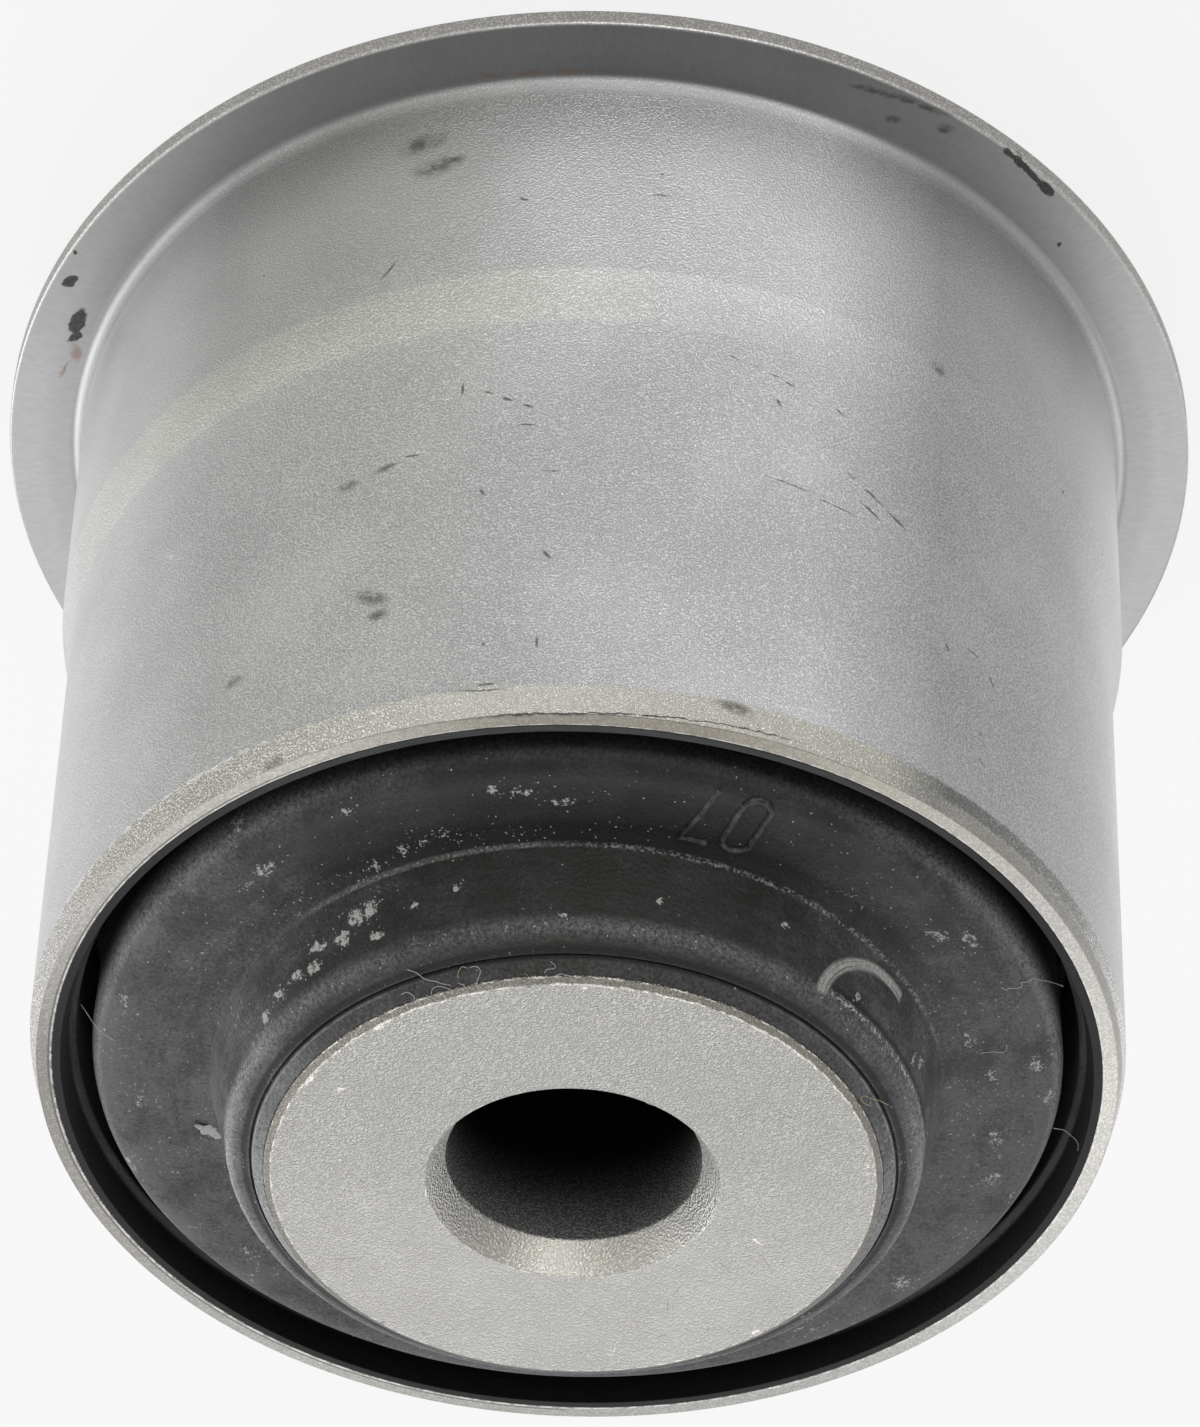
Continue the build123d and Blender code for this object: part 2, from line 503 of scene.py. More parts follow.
# marks: half length, half width and lean, then turn and radius on the flange
flangeChips = {
    (1.3, 0.28, -6): [(41.4, 40.6), (43.9, 40.48)], (0.9, 0.48, -6): [(46.2, 40.32)],
    (1.5, 0.55, 4): [(-70.6, 37.95)], (0.75, 0.42, -20): [(-72.7, 37.75), (-65.7, 39.7)],
    (0.2, 0.18, 0): [(53.0, 38.0), (-62.0, 40.5)],
}
flangeStains = {
    (1.9, 0.36, 11): [(25.3, 39.85), (28.4, 40.2), (31.4, 40.45)],
    (0.8, 0.5, 30): [(33.8, 39.6), (29.0, 38.3)],
}
flangeRust = {
    (1.2, 0.6, 18): [(-74.9, 37.25)], (1.3, 0.17, -16): [(-77.6, 37.75), (-12.6, 37.0)],
    (1.7, 0.2, 0): [(-8.3, 36.74), (-4.2, 36.74)],
}
# and turn and height on the wall
wallScratches = {
    (1.1, 0.17, 31): [(29.8, 41.8), (32.7, 42.9), (29.3, 43.1)],
    (0.5, 0.15, 31): [(-11.6, 37.6), (-9.6, 38.35), (-7.5, 39.1), (25.8, 35.4), (27.0, 40.7),
                      (-8.7, 20.6)],
    (1.1, 0.14, -56): [(-22.85, 25.2)],
    (0.5, 0.16, 60): [(-11.8, 46.5), (-4.9, 52.3), (18.75, 36.4), (39.2, 51.5), (43.8, 59.5),
                      (45.6, 51.8)],
    (0.75, 0.13, 90): [(-14.4, 37.0), (-5.5, 59.7)],
    (0.75, 0.13, 5): [(-7.4, 40.8), (-4.8, 45.0), (5.7, 20.1), (-19.4, 42.2), (-10.3, 63.1),
                      (42.8, 50.5)],
    (0.5, 0.09, 14): [(13.9, 33.3), (16.0, 33.6), (18.2, 34.0), (19.9, 34.4)],
    (2.2, 0.08, 5): [(20.0, 43.4), (25.0, 44.0), (-11.0, 63.5)],
    (0.15, 0.15, 0): [(5.6, 18.1), (43.7, 57.1), (59.0, 28.4), (-10.9, 59.7), (-38.4, 20.8)],
}
wallSmudges = {
    (2.2, 1.3, -6): [(-18.3, 16.2), (-19.8, 13.7)], (1.0, 0.7, 0): [
        (-16.3, 16.0), (-38.9, 56.8), (-26.5, 43.4), (37.6, 27.7), (-22.2, 55.7), (-33.5, 65.0)],
    (2.0, 0.8, 36): [(-23.0, 54.0)], (1.8, 0.6, 8): [(14.4, 63.7)],
    (1.2, 0.4, -15): [(-22.2, 42.75)],
}
# light marks on the wall: light streaks, and painted highlights near the right silhouette
wallLightsAndHighlights = {
    (1.1, 0.2, -6): [(22.0, 33.3)], (1.3, 0.22, 80): [
        (66.4, 38.1), (69.5, 40.0), (72.4, 44.9), (75.0, 48.0)],
    (3.3, 0.07, 63): [(71.3, 49.8)], (3.0, 0.07, -13): [(68.9, 31.0)],
    (0.9, 0.2, 45): [(-51.0, 41.0), (-54.0, 49.3), (-60.0, 57.5)],
    (0.2, 0.25, 0): [(-44.2, 53.3), (-47.5, 45.0)],
}


def makeCoatedSteel():
    look = outerSleeve
    stretch = sleeveStretches
    material, shader, (place, turn, radius, height) = newMaterial("coatedSteel")
    press = look["press"]
    bore = press - look["wall"]
    upperWall = press + look["stepRise"]
    stepTop = sleeveRim - look["stepStart"]
    stepFoot = stepTop - look["stepHeight"]
    leadFoot = sleeveRim - look["leadHeight"]
    seat = flangeFace + look["flangeThickness"]
    push = noise(place, 0.7, 3, output="Color")
    ragged, breakup, patch = channels(push)
    cloud = noise(place, 10.0, 11)

    # the parts of the sleeve: its end face, lead chamfer, flange, flange's edge and upper wall
    endFace = ramp(height, sleeveRim - 0.07, sleeveRim - 0.02)
    raggedHeight = total(height, product(minus(ragged, 0.5), 0.5))
    rollStart = sleeveRim - look["rollDepth"]
    rolled = product(near(turn, *stretch["rolledEdge"]),
                     ramp(raggedHeight, rollStart - 0.2, rollStart + 0.2))
    end = most(endFace, rolled)
    lead = product(ramp(raggedHeight, leadFoot - 0.12, leadFoot + 0.12), rest(endFace), rest(end))
    flangeTop = product(ramp(radius, upperWall + 0.3, upperWall + 0.8),
                        ramp(height, seat + 0.7, seat + 0.2))
    smooth = most(flangeTop, end)
    rim = ramp(radius, flangeRadius - 0.16, flangeRadius - 0.02)
    pressWall = ramp(height, stepFoot, stepTop)

    # the coat: pebbles, strongest low on the front of the wall, over slow changes of tone, with
    # painted light and shade by turn
    grain = grainOf(place, look["grain"])
    strength = product(
        ramp(calc("ABSOLUTE", minus(turn, look["grainFullTurn"])), 30.0, 75.0, 1.0, 0.4),
        ramp(height, seat + 1.0, look["grainFullHeight"], 0.25, 1.0))
    tone = mix(most(product(smooth, 0.7), ramp(cloud, 0.45, 0.8, 0.0, 0.4),
                    product(rest(strength), 0.9)), grain["Tone"], 0.45)
    coat = tinted(byTurn(turn, coatLitByTurn), blend(tone, look["coatDark"], look["coatLight"]))
    # painted light and shade on the upper wall: lighter at the front, darker round -30 degrees
    paintedLightUpper = product(rest(pressWall), near(turn, *stretch["paintedLightUpper"]), 0.04)
    paintedShadeUpper = product(rest(pressWall), near(turn, *stretch["paintedShadeUpper"]), -0.16)
    coat = shaded(coat, total(paintedLightUpper, paintedShadeUpper, ramp(cloud, 0.25, 0.75, 1.12, 1.28)))
    # the step's band lighter and warmer towards the left
    band = product(near(height, (stepTop + stepFoot) / 2, 1.6, 2.3),
                   near(turn, *stretch["lighterStep"]))
    coat = blend(product(band, 0.5), coat, look["band"], "MULTIPLY")
    # the lead chamfer: grain over a warm colour with painted light and shade by turn
    chamfer = tinted(byTurn(turn, chamferLitByTurn), blend(grain["Tone"], grey(0.45), grey(1.0)))
    colour = blend(lead, coat, shaded(chamfer, look["chamferShade"]))
    # painted glints: bright flecks on a few pebble crowns, stronger on the lead chamfer
    glint = product(grain["Glint"], rest(smooth), mix(lead, 0.2, 0.35))
    colour = blend(glint, colour, look["rubbed"])

    # the flange is drawn smooth, with painted shade by turn; its edge is dusty; and the end face is
    # cut, with painted light and shade by turn
    burr = noise(joined(product(turn, 2.6), product(radius, 1.2)), 1.0, 7, 2.0, 0.6)
    drawn = shaded(byTurn(turn, flangeLitByTurn), ramp(burr, 0.3, 0.7, 0.96, 1.04))
    colour = blend(flangeTop, colour, drawn)
    # painted shade in the corner at the flange's root
    root = product(near(height, seat + 0.6, 0.2, 0.7),
                   ramp(radius, flangeRadius - 2.0, flangeRadius - 3.0))
    colour = shaded(colour, mix(root, 1.0, 0.72))
    dusty = shaded(look["rim"], ramp(grain["Tone"], 0.2, 0.9, 0.65, 1.15))
    colour = blend(rim, colour, dusty)
    # painted light and shade on the cut end face, by turn
    cut = shaded(byTurn(turn, endLitByTurn), total(
        ramp(grain["Tone"], 0.15, 0.75, 0.72, 1.02), product(burr, 0.22)))
    colour = blend(end, colour, cut)

    # rubbed bright: the press edge, the flange's edge and the burr at the lining
    pressEdge = product(ramp(breakup, 0.44, 0.56), near(turn, *stretch["rubbedPress"]),
                        onRing(radius, raggedHeight, press, leadFoot, 0.22))
    flangeEdge = product(ramp(tone, 0.2, 0.7, 0.3, 1.0),
                         onRing(radius, height, flangeRadius - 0.05, seat - 0.08, 0.24))
    innerBurr = product(end, ramp(breakup, 0.4, 0.6), ramp(radius, bore + 0.17, bore + 0.07))
    bright = most(product(pressEdge, 0.8), product(flangeEdge, 0.5), product(innerBurr, 0.45))
    colour = blend(bright, colour, look["rubbed"])

    # dark: the seam inside the burr, and a crack along the front of the chamfer
    seam = product(end, near(radius, bore + 0.23, 0.02, 0.08), ramp(turn, -20.0, -40.0), 0.7)
    slope = product(most(total(turn, 2.0), 0.0), -0.019)
    crackHeight = total(slope, product(ragged, 0.3), sleeveRim - 0.2)
    crackWidth = ramp(patch, 0.3, 0.6, 0.03, 0.1)
    crack = product(near(minus(height, crackHeight), 0.0, 0.01, crackWidth),
                    near(turn, *stretch["crack"]), ramp(radius, press - 0.8, press - 0.6))

    # marks of handling
    tornFace = pushed(unrolled(turn, radius, look["flangeMiddle"]), push, 0.3)
    tornWall = pushed(unrolled(turn, height, press), push, 0.16)
    speckled = ramp(breakup, 0.36, 0.56, 0.45, 1.0)
    onSeat = product(flangeTop, ramp(height, seat - 0.6, seat - 0.3))
    chips = product(onSeat, marked(tornFace, flangeChips, look["flangeMiddle"], 0.25))
    stains = product(onSeat, speckled, marked(tornFace, flangeStains, look["flangeMiddle"], 0.7))
    rust = product(onSeat, marked(tornFace, flangeRust, look["flangeMiddle"], 0.8))
    scratches = product(ramp(patch, 0.3, 0.5, 0.4, 1.0),
                        marked(tornWall, wallScratches, press, 0.6))
    smudges = product(speckled, marked(tornWall, wallSmudges, press, 0.95))
    # light marks: light streaks, and painted highlights near the right silhouette
    lights = product(ramp(patch, 0.4, 0.6), marked(tornWall, wallLightsAndHighlights, press))
    onWall = rest(smooth)
    dark = most(crack, seam, product(stains, 0.9), product(scratches, onWall, 0.8))
    colour = blend(product(rust, 0.65), colour, look["rust"])
    colour = blend(product(smudges, onWall, 0.85), colour, look["stain"])
    colour = blend(dark, colour, look["stain"])
    chipTone = shaded(look["bareSteel"], total(grain["Tone"], 0.6))
    colour = blend(product(chips, 0.9), colour, chipTone)
    colour = blend(product(lights, onWall, 0.6), colour, look["rubbed"])

    relief = product(grain["Tone"], rest(smooth), strength,
                     ramp(height, leadFoot - 0.2, leadFoot + 0.2, 1.0, 1.8))
    connect(shader, {
        "Base Color": colour, "Metallic": look["metallic"], "Sheen Weight": look["sheen"],
        "Roughness": calc("MULTIPLY_ADD", most(dark, chips, root), 0.25, look["roughness"]),
        "Normal": bump(relief, look["grainDepth"])})
    return material


def makeOuterSleeve():
    look = outerSleeve
    press = look["press"]
    upper = press + look["stepRise"]
    wall = look["wall"]
    edge = look["edge"]
    stepTop = sleeveRim - look["stepStart"]
    stepFoot = stepTop - look["stepHeight"]
    seat = flangeFace + look["flangeThickness"]
    corners = [
        (press - wall, sleeveRim, edge),
        (press - wall, stepTop, look["stepBoreRadius"]),
        (upper - wall, stepFoot, look["stepBoreRadius"]),
        (upper - wall, flangeFace, look["rootRadius"] + wall),
        (flangeRadius, flangeFace, look["rimRadius"]),
        (flangeRadius, seat, look["rimRadius"]),
        (upper, seat, look["rootRadius"]),
        (upper, stepFoot, look["stepFootRadius"]),
        (press, stepTop, look["stepTopRadius"]),
        (press, sleeveRim - look["leadHeight"], look["leadBlend"]),
        (press - look["leadWidth"], sleeveRim, edge),
    ]
    return turnedPiece("outerSleeve", corners, look, makeCoatedSteel(), outerLow, outerHigh)


# Inner sleeve: thick turned tube, its faces and chamfers as the tool left them

innerSleeve = {
    "bore": 8.1, "sinkWidth": 1.2, "sinkDepth": 2.06, "sinkFootRadius": 0.3,
    "chamferWidth": 0.45, "chamferHeight": 0.27, "edge": 0.08,
    "segments": 540, "arcStep": 14, "wander": 0.02, "wanderSize": 5.0, "seed": 2.0,
    "steel": (0.485, 0.478, 0.455, 1.0), "steelDark": (0.35, 0.345, 0.33, 1.0),
    "steelCool": (0.40, 0.395, 0.38, 1.0), "rubbed": (0.84, 0.82, 0.76, 1.0),
    "chamfer": (0.215, 0.20, 0.175, 1.0), "gold": (0.66, 0.60, 0.47, 1.0),
    "stain": (0.12, 0.11, 0.095, 1.0), "boreDark": grey(0.10), "boreLight": grey(0.42, 0.02),
    "grain": 0.155, "grainDepth": 0.08, "faceMiddle": 14.0, "sinkShade": 1.8,
    "boreShadeDepth": 9.5, "metallic": 0.85, "roughness": 0.46,
}

# painted light and shade of the countersinks by turn
sinkLitByTurn = {-180: 0.66, -150: 0.64, -120: 0.66, -90: 0.88, -60: 0.98, -30: 0.60, 0: 0.67,
              30: 0.59, 60: 0.64, 90: 0.63, 120: 0.52, 150: 0.74, 180: 0.66}

# marks: half length, half width and lean, then turn and radius
faceScratches = {
    (1.3, 0.06, 60): [(152.0, 13.6), (120.0, 14.5)], (1.2, 0.06, 30): [(146.0, 12.4), (60.0, 15.0)],
    (1.0, 0.06, 75): [(128.0, 12.5), (-120.0, 16.5)], (0.5, 0.08, 10): [
        (158.0, 16.2), (-150.0, 14.0)],
}
faceTalc = {
    (0.45, 0.4, 0): [(118.0, 11.6), (-60.0, 16.8)], (0.9, 0.2, 70): [(113.0, 12.8), (170.0, 17.0)],
    (0.6, 0.22, 0): [(2.0, 18.85), (82.0, 18.6), (115.6, 18.85), (140.0, 18.7), (-40.5, 18.9),
                     (-61.0, 18.9)],
}


def makeCutSteel():
    look = innerSleeve
    material, shader, (place, turn, radius, height) = newMaterial("cutSteel")
    fromEnd = belowEnd(height)
    fromFront = calc("ABSOLUTE", turn)
    push = noise(place, 0.8, 2, output="Color")
    breakup, chipping, patch = channels(push)
    cloud = noise(place, 3.5, 3)

    # the parts of the sleeve: its countersinks, bore, chamfers and end faces
    sinkEdge = look["bore"] + look["sinkWidth"]
    sinkDepth = look["sinkDepth"]
    inside = ramp(radius, sinkEdge + 0.03, sinkEdge - 0.05)
    inSink = product(inside, ramp(fromEnd, sinkDepth + 0.2, sinkDepth - 0.1))
    inBore = minus(inside, inSink)
    chamferStart = innerRadius - look["chamferWidth"]
    chamferHeight = look["chamferHeight"]
    onChamfer = product(ramp(radius, chamferStart, chamferStart + 0.08),
                        ramp(fromEnd, chamferHeight + 0.2, chamferHeight))
    onFlat = ramp(fromEnd, 0.1, 0.02)

    # the face: a close cellular grain, smoother and cooler in places
    grain = grainOf(place, look["grain"])
    calm = ramp(cloud, 0.4, 0.7)
    tone = mix(product(calm, 0.25), grain["Tone"], 0.55)
    colour = blend(tone, look["steelDark"], look["steel"])
    colour = blend(product(calm, 0.2), colour, look["steelCool"])

    # the countersink has a warm tone and painted glints at its back, both countersinks get painted
    # light and shade by turn, the face is painted darker towards its back as shade, and the bore is
    # painted darker with depth as shade
    sinkTone = blend(grain["Tone"], look["steelDark"], look["gold"])
    backOfSink = product(inSink, ramp(fromFront, 115.0, 155.0))
    colour = blend(product(backOfSink, 0.45), colour, sinkTone)
    # painted glints: warm flecks at the back of the countersink
    colour = blend(product(backOfSink, grain["Glint"], 0.6), colour, look["gold"])
    sinkShade = product(byTurn(turn, sinkLitByTurn), look["sinkShade"])
    colour = shaded(colour, mix(inSink, ramp(fromFront, 95.0, 150.0, 1.0, 0.9), sinkShade))
    boreTone = blend(mix(0.4, grain["Tone"], 0.5), look["boreDark"], look["boreLight"])
    # painted shade: the bore darkens with depth
    boreTone = shaded(boreTone, ramp(fromEnd, 2.0, look["boreShadeDepth"], 0.9, 0.02))
    colour = blend(inBore, colour, boreTone)

    # both corners of the chamfer are rubbed in chips, with dull steel between them
    raggedRadius = total(radius, product(minus(breakup, 0.5), 0.4))
    frontal = ramp(fromFront, 40.0, 80.0, 1.0, 0.55)
    inner = product(frontal, ramp(chipping, 0.40, 0.54),
                    onRing(raggedRadius, fromEnd, chamferStart, 0.0, 0.13))
    outer = product(frontal, ramp(patch, 0.42, 0.54, 0.0, 0.8),
                    onRing(raggedRadius, fromEnd, innerRadius, chamferHeight, 0.13))
    sinkLine = product(ramp(patch, 0.45, 0.6), onRing(raggedRadius, fromEnd, sinkEdge, 0.0, 0.12))
    bright = ramp(most(inner, outer, product(sinkLine, 0.5)), 0.2, 0.55)
    worn = shaded(look["chamfer"], ramp(grain["Tone"], 0.2, 0.8, 0.85, 1.15))
    colour = blend(product(onChamfer, 0.9), colour, worn)
    colour = blend(product(bright, 0.55), colour, look["rubbed"])

    # marks on the end faces
    torn = pushed(unrolled(turn, radius, look["faceMiddle"]), push, 0.12)
    scratches = marked(torn, faceScratches, look["faceMiddle"], 0.6)
    talc = product(ramp(patch, 0.45, 0.55), marked(torn, faceTalc, look["faceMiddle"]))
    pits = ramp(chipping, 0.26, 0.22)
    dark = product(onFlat, most(product(scratches, 0.5), product(pits, 0.5)))
    colour = blend(dark, colour, look["stain"])
    colour = blend(product(talc, onFlat, 0.7), colour, look["rubbed"])

    relief = product(grain["Tone"], total(1.0, inBore), ramp(fromFront, 50.0, 150.0, 1.0, 0.3))
    connect(shader, {
        "Base Color": colour, "Metallic": look["metallic"],
        "Roughness": total(product(calm, -0.05), product(inBore, 0.25), look["roughness"]),
        "Normal": bump(relief, look["grainDepth"])})
    return material


def makeInnerSleeve():
    look = innerSleeve
    bore = look["bore"]
    edge = look["edge"]
    corners = []
    for end, into in ((sleeveEnd, -1), (0.0, 1)):
        half = [
            (innerRadius, end + into * look["chamferHeight"], edge),
            (innerRadius - look["chamferWidth"], end, edge),
            (bore + look["sinkWidth"], end, edge),
            (bore, end + into * look["sinkDepth"], look["sinkFootRadius"]),
        ]
        corners += half if into < 0 else half[::-1]
    return turnedPiece("innerSleeve", corners, look, makeCutSteel(), innerLow, innerHigh)


# Rubber: one moulding, bonded to both sleeves

rubberElement = {
    "lining": 0.55, "liningFlare": 0.4, "ledgeDepth": 2.5,
    "ledgeWidth": 0.45, "ledgeSlope": 0.3, "ledgeRadius": 0.2,
    "grooveWidth": 1.0, "grooveDepth": 13.0, "grooveTaper": 0.3, "floorRadius": 0.5,
    "crestRise": 0.55, "shoulderRadius": 2.2,
    "dishDepth": 0.4, "dishFootWidth": 1.2, "dishFootRadius": 3.0,
    "coneFoot": 3.83, "coneFootRise": 0.38,
    "lip": 2.35, "lipDrop": 1.85, "lipRadius": 0.9,
    "crease": 0.87, "creaseDrop": 1.17, "creaseWidth": 0.2, "creaseDepth": 0.3,
    "creaseRadius": 0.03, "collarDrop": 0.3, "edge": 0.06, "stepRadius": 1.0,
    "segments": 280, "arcStep": 12, "wander": 0.06, "wanderSize": 7.0, "seed": 3.0,
    "rubber": (0.008, 0.0085, 0.008, 1.0), "olive": (0.014, 0.0145, 0.011, 1.0),
    "paintedShade": (0.004, 0.004, 0.004, 1.0),
    "bloomAndSheen": (0.145, 0.148, 0.153, 1.0), "dust": (0.46, 0.465, 0.46, 1.0),
    "talc": (0.68, 0.68, 0.65, 1.0), "powderSize": 0.34, "faceMiddle": 28.0,
    "reliefDepth": 0.06, "roughness": 0.5, "specular": 0.22, "sheen": 0.04,
}
# on the cone unrolled: the arch's middle, half width, open height, depth and where it ends
crayonHook = {"middle": 22.3, "halfWidth": 5.6, "open": 71.1, "depth": 4.4, "end": 23.95}

# how much bloom and painted sheen show by turn on the face and on the cone, and dust and a painted
# highlight on the lip and collar
faceSheenAndBloomByTurn = {-180: 0.85, -120: 0.80, -90: 0.76, -60: 0.48, -30: 0.13, 0: 0.01, 30: 0.07,
                  60: 0.42, 90: 0.72, 120: 0.78, 180: 0.85}
coneSheenAndBloomByTurn = {-180: 0.70, -90: 0.75, -75: 0.72, -50: 0.20, -25: 0.13, 0: 0.02, 25: 0.09,
                  50: 0.42, 75: 0.45, 90: 0.55, 180: 0.70}
lipSheenAndDustByTurn = {-180: 0.44, -150: 0.60, -120: 0.80, -90: 1.0, -60: 0.38, -30: 0.20, 0: 0.33,
              30: 0.28, 55: 0.20, 70: 0.35, 90: 0.95, 120: 0.55, 150: 0.62, 180: 0.44}

# stretches of turn: the middle, how far it goes in full and how far it fades out
rubberStretches = {
    "lipShadowAndDust": (65.0, 17.0, 25.0), "leftFold": (-24.0, 14.0, 30.0),
    "rightFold": (34.0, 28.0, 50.0), "liningDust": (0.0, 30.0, 60.0),
}

# patches of powder: half length, half width and lean, then turn and radius on the end
facePatches = {
    (1.8, 1.0, 25): [(-44.5, 28.0), (54.0, 27.3), (82.0, 29.4), (97.0, 27.2), (130.0, 28.5)],
    (1.5, 0.7, 0): [(-8.0, 28.1), (-3.5, 27.0), (57.0, 28.8), (89.0, 30.1), (105.0, 28.0),
                    (-108.0, 30.2), (76.0, 25.4), (-130.0, 27.5)],
    (1.0, 0.5, 0): [(-44.0, 30.9), (-48.0, 27.7), (-11.5, 28.5), (-76.0, 29.5), (-95.0, 28.0),
                    (108.0, 29.8), (-30.0, 29.3), (84.0, 26.5)],
    (1.3, 0.36, 70): [(-32.0, 24.1), (-27.0, 24.6), (-20.3, 25.3), (-23.5, 24.9)],
}
# and turn and height on the cone
conePatches = {
    (1.0, 1.1, 0): [(-37.8, 67.7), (-34.7, 67.5), (-40.3, 68.6)],
    (1.1, 0.65, 15): [(-45.7, 68.2), (-51.3, 69.1), (-55.7, 69.3), (-34.4, 69.4), (-47.5, 69.4),
                     (-60.5, 69.8)],
    (0.5, 0.42, 0): [(-27.5, 68.3), (-19.7, 67.8), (11.8, 69.0), (-3.0, 70.5), (33.0, 68.0),
                     (50.0, 69.5)],
    (0.28, 1.1, 20): [(72.0, 68.3), (69.0, 69.0)],
}


def makeMouldedRubber():
    look = rubberElement
    stretch = rubberStretches
    material, shader, (place, turn, radius, height) = newMaterial("mouldedRubber")
    fromEnd = belowEnd(height)
    fromFront = calc("ABSOLUTE", turn)
    push = noise(place, 0.9, 1, 3.0, 0.6, output="Color")
    wavy = channels(push)[0]
    cloud = noise(place, 4.0, 2, 3.0, 0.65)
    flow = noise(joined(product(turn, 0.10), product(radius, 0.9), height), 1.0, 5, 3.0, 0.65)
    speckle = noise(place, 0.24, 4, 3.0, 0.8)
    beads = ramp(noise(place, 0.22, 3, 2.0, 0.7), 0.46, 0.62)

    # the parts of the moulding: its near end, its cone, its lip, and what isn't down the groove
    coneFoot = innerRadius + look["coneFoot"]
    coneMiddle = coneFoot - 0.7
    creaseRadius = innerRadius + look["crease"]
    lipRadius = innerRadius + look["lip"] - 0.3
    lipHeight = sleeveEnd - look["lipDrop"] - 0.6
    liningRadius = outerSleeve["press"] - outerSleeve["wall"] - look["lining"]
    flank = liningRadius - look["liningFlare"] - look["ledgeWidth"] - look["grooveWidth"]
    blockEnd = sleeveEnd - sleeveRim - look["crestRise"]
    frontEnd = ramp(height, midLength - 1.0, midLength + 1.0)
    outsideCone = ramp(radius, coneFoot - 0.1, coneFoot + 0.1)
    exposed = product(ramp(fromEnd, blockEnd + 4.2, blockEnd + 1.8),
                      ramp(radius, flank + 0.55, flank + 0.25))
    sides = ramp(fromFront, 15.0, 85.0)
    shoulder = ramp(radius, flank - 2.25, flank - 0.05)
    crown = onRing(radius, height, lipRadius + 0.15, lipHeight + 0.1, 1.1)

    # bloom and painted sheen: thin at the front, greyer round the sides and back, at the shoulder
    # and on the lip
    sheenAndBloom = mix(outsideCone, byTurn(turn, coneSheenAndBloomByTurn), byTurn(turn, faceSheenAndBloomByTurn))
    sheenAndBloom = total(sheenAndBloom, product(shoulder, mix(sides, 0.08, 0.5)), 0.05)
    sheenAndBloom = product(sheenAndBloom, ramp(cloud, 0.3, 0.7, 0.5, 1.5), ramp(flow, 0.3, 0.7, 0.75, 1.25),
                   ramp(speckle, 0.34, 0.66, 0.5, 1.55), exposed)
    colour = blend(outsideCone, look["olive"], look["rubber"])
    # painted shade: the rubber down the groove is darker
    colour = blend(exposed, look["paintedShade"], colour)
    colour = blend(sheenAndBloom, colour, look["bloomAndSheen"])
    # painted highlight and dust on the lip and collar by turn, and dust beside the shoulder's edge
    collar = product(near(radius, innerRadius + 0.38, 0.25, 0.5),
                     ramp(fromFront, 70.0, 115.0, 0.3, 0.9))
    sheenAndDust = total(product(most(crown, collar), frontEnd, byTurn(turn, lipSheenAndDustByTurn)),
                 product(near(radius, flank - 0.25, 0.2, 0.7), mix(sides, 0.06, 0.5)))
    colour = blend(product(exposed, sheenAndDust, ramp(speckle, 0.35, 0.65, 0.25, 1.4)),
                   colour, look["dust"])

    # painted shade: the moulding darkened in the corners beside the lip, in the crease and at the
    # foot of the cone
    besideLip = onRing(radius, height, lipRadius + 0.6, lipHeight - 1.0, 0.4)
    corner = most(near(radius, creaseRadius + 0.42, 0.1, 0.3),
                  near(radius, creaseRadius, 0.05, 0.15),
                  product(near(radius, coneFoot + 1.1, 0.3, 1.2), rest(sides), 0.8),
                  product(near(turn, *stretch["lipShadowAndDust"]), besideLip))
    colour = blend(product(corner, frontEnd, 0.75), colour, look["paintedShade"])

    # where powder lies: patches, a thin drift, the lip and the shoulder's edge
    tornFace = pushed(unrolled(turn, radius, look["faceMiddle"]), push, 0.7)
    coneFlat = unrolled(turn, height, coneMiddle)
    tornCone = pushed(coneFlat, push, 0.6)
    patches = mix(outsideCone, marked(tornCone, conePatches, coneMiddle, 0.7),
                  marked(tornFace, facePatches, look["faceMiddle"], 0.8))
    drift = total(product(ramp(cloud, 0.45, 0.7), mix(sides, 0.08, 0.2)), mix(sides, 0.31, 0.38))
    speckledLip = product(crown, ramp(wavy, 0.35, 0.6, 0.35, 0.66))
    edgeDust = product(near(radius, flank - 0.45, 0.2, 0.7), mix(sides, 0.3, 0.52))
    amount = product(exposed, frontEnd, most(
        drift, product(patches, mix(outsideCone, 0.98, 0.84)), speckledLip, edgeDust))
    flakes = useGroup(treeOf(place), powder, {
        "Position": place, "Size": look["powderSize"], "Amount": amount})["Mask"]

    # powder lines: fine along the fold, beaded to its right, and dotted round the lip
    fold = onRing(total(radius, product(wavy, 0.25)), height, coneFoot + 0.13,
                  sleeveRim + look["coneFootRise"], 0.36)
    footLine = product(ramp(fold, 0.1, 0.8), most(
        product(near(turn, *stretch["leftFold"]), mix(beads, 0.10, 0.34)),
        product(beads, near(turn, *stretch["rightFold"]), 0.42)))
    creaseLine = product(sides, near(radius, creaseRadius - 0.13, 0.02, 0.07),
                         ramp(wavy, 0.3, 0.6, 0.1, 0.45))
    dotted = product(beads, near(turn, *stretch["lipShadowAndDust"]),
                     onRing(radius, height, lipRadius + 0.5, lipHeight - 0.5, 0.4))

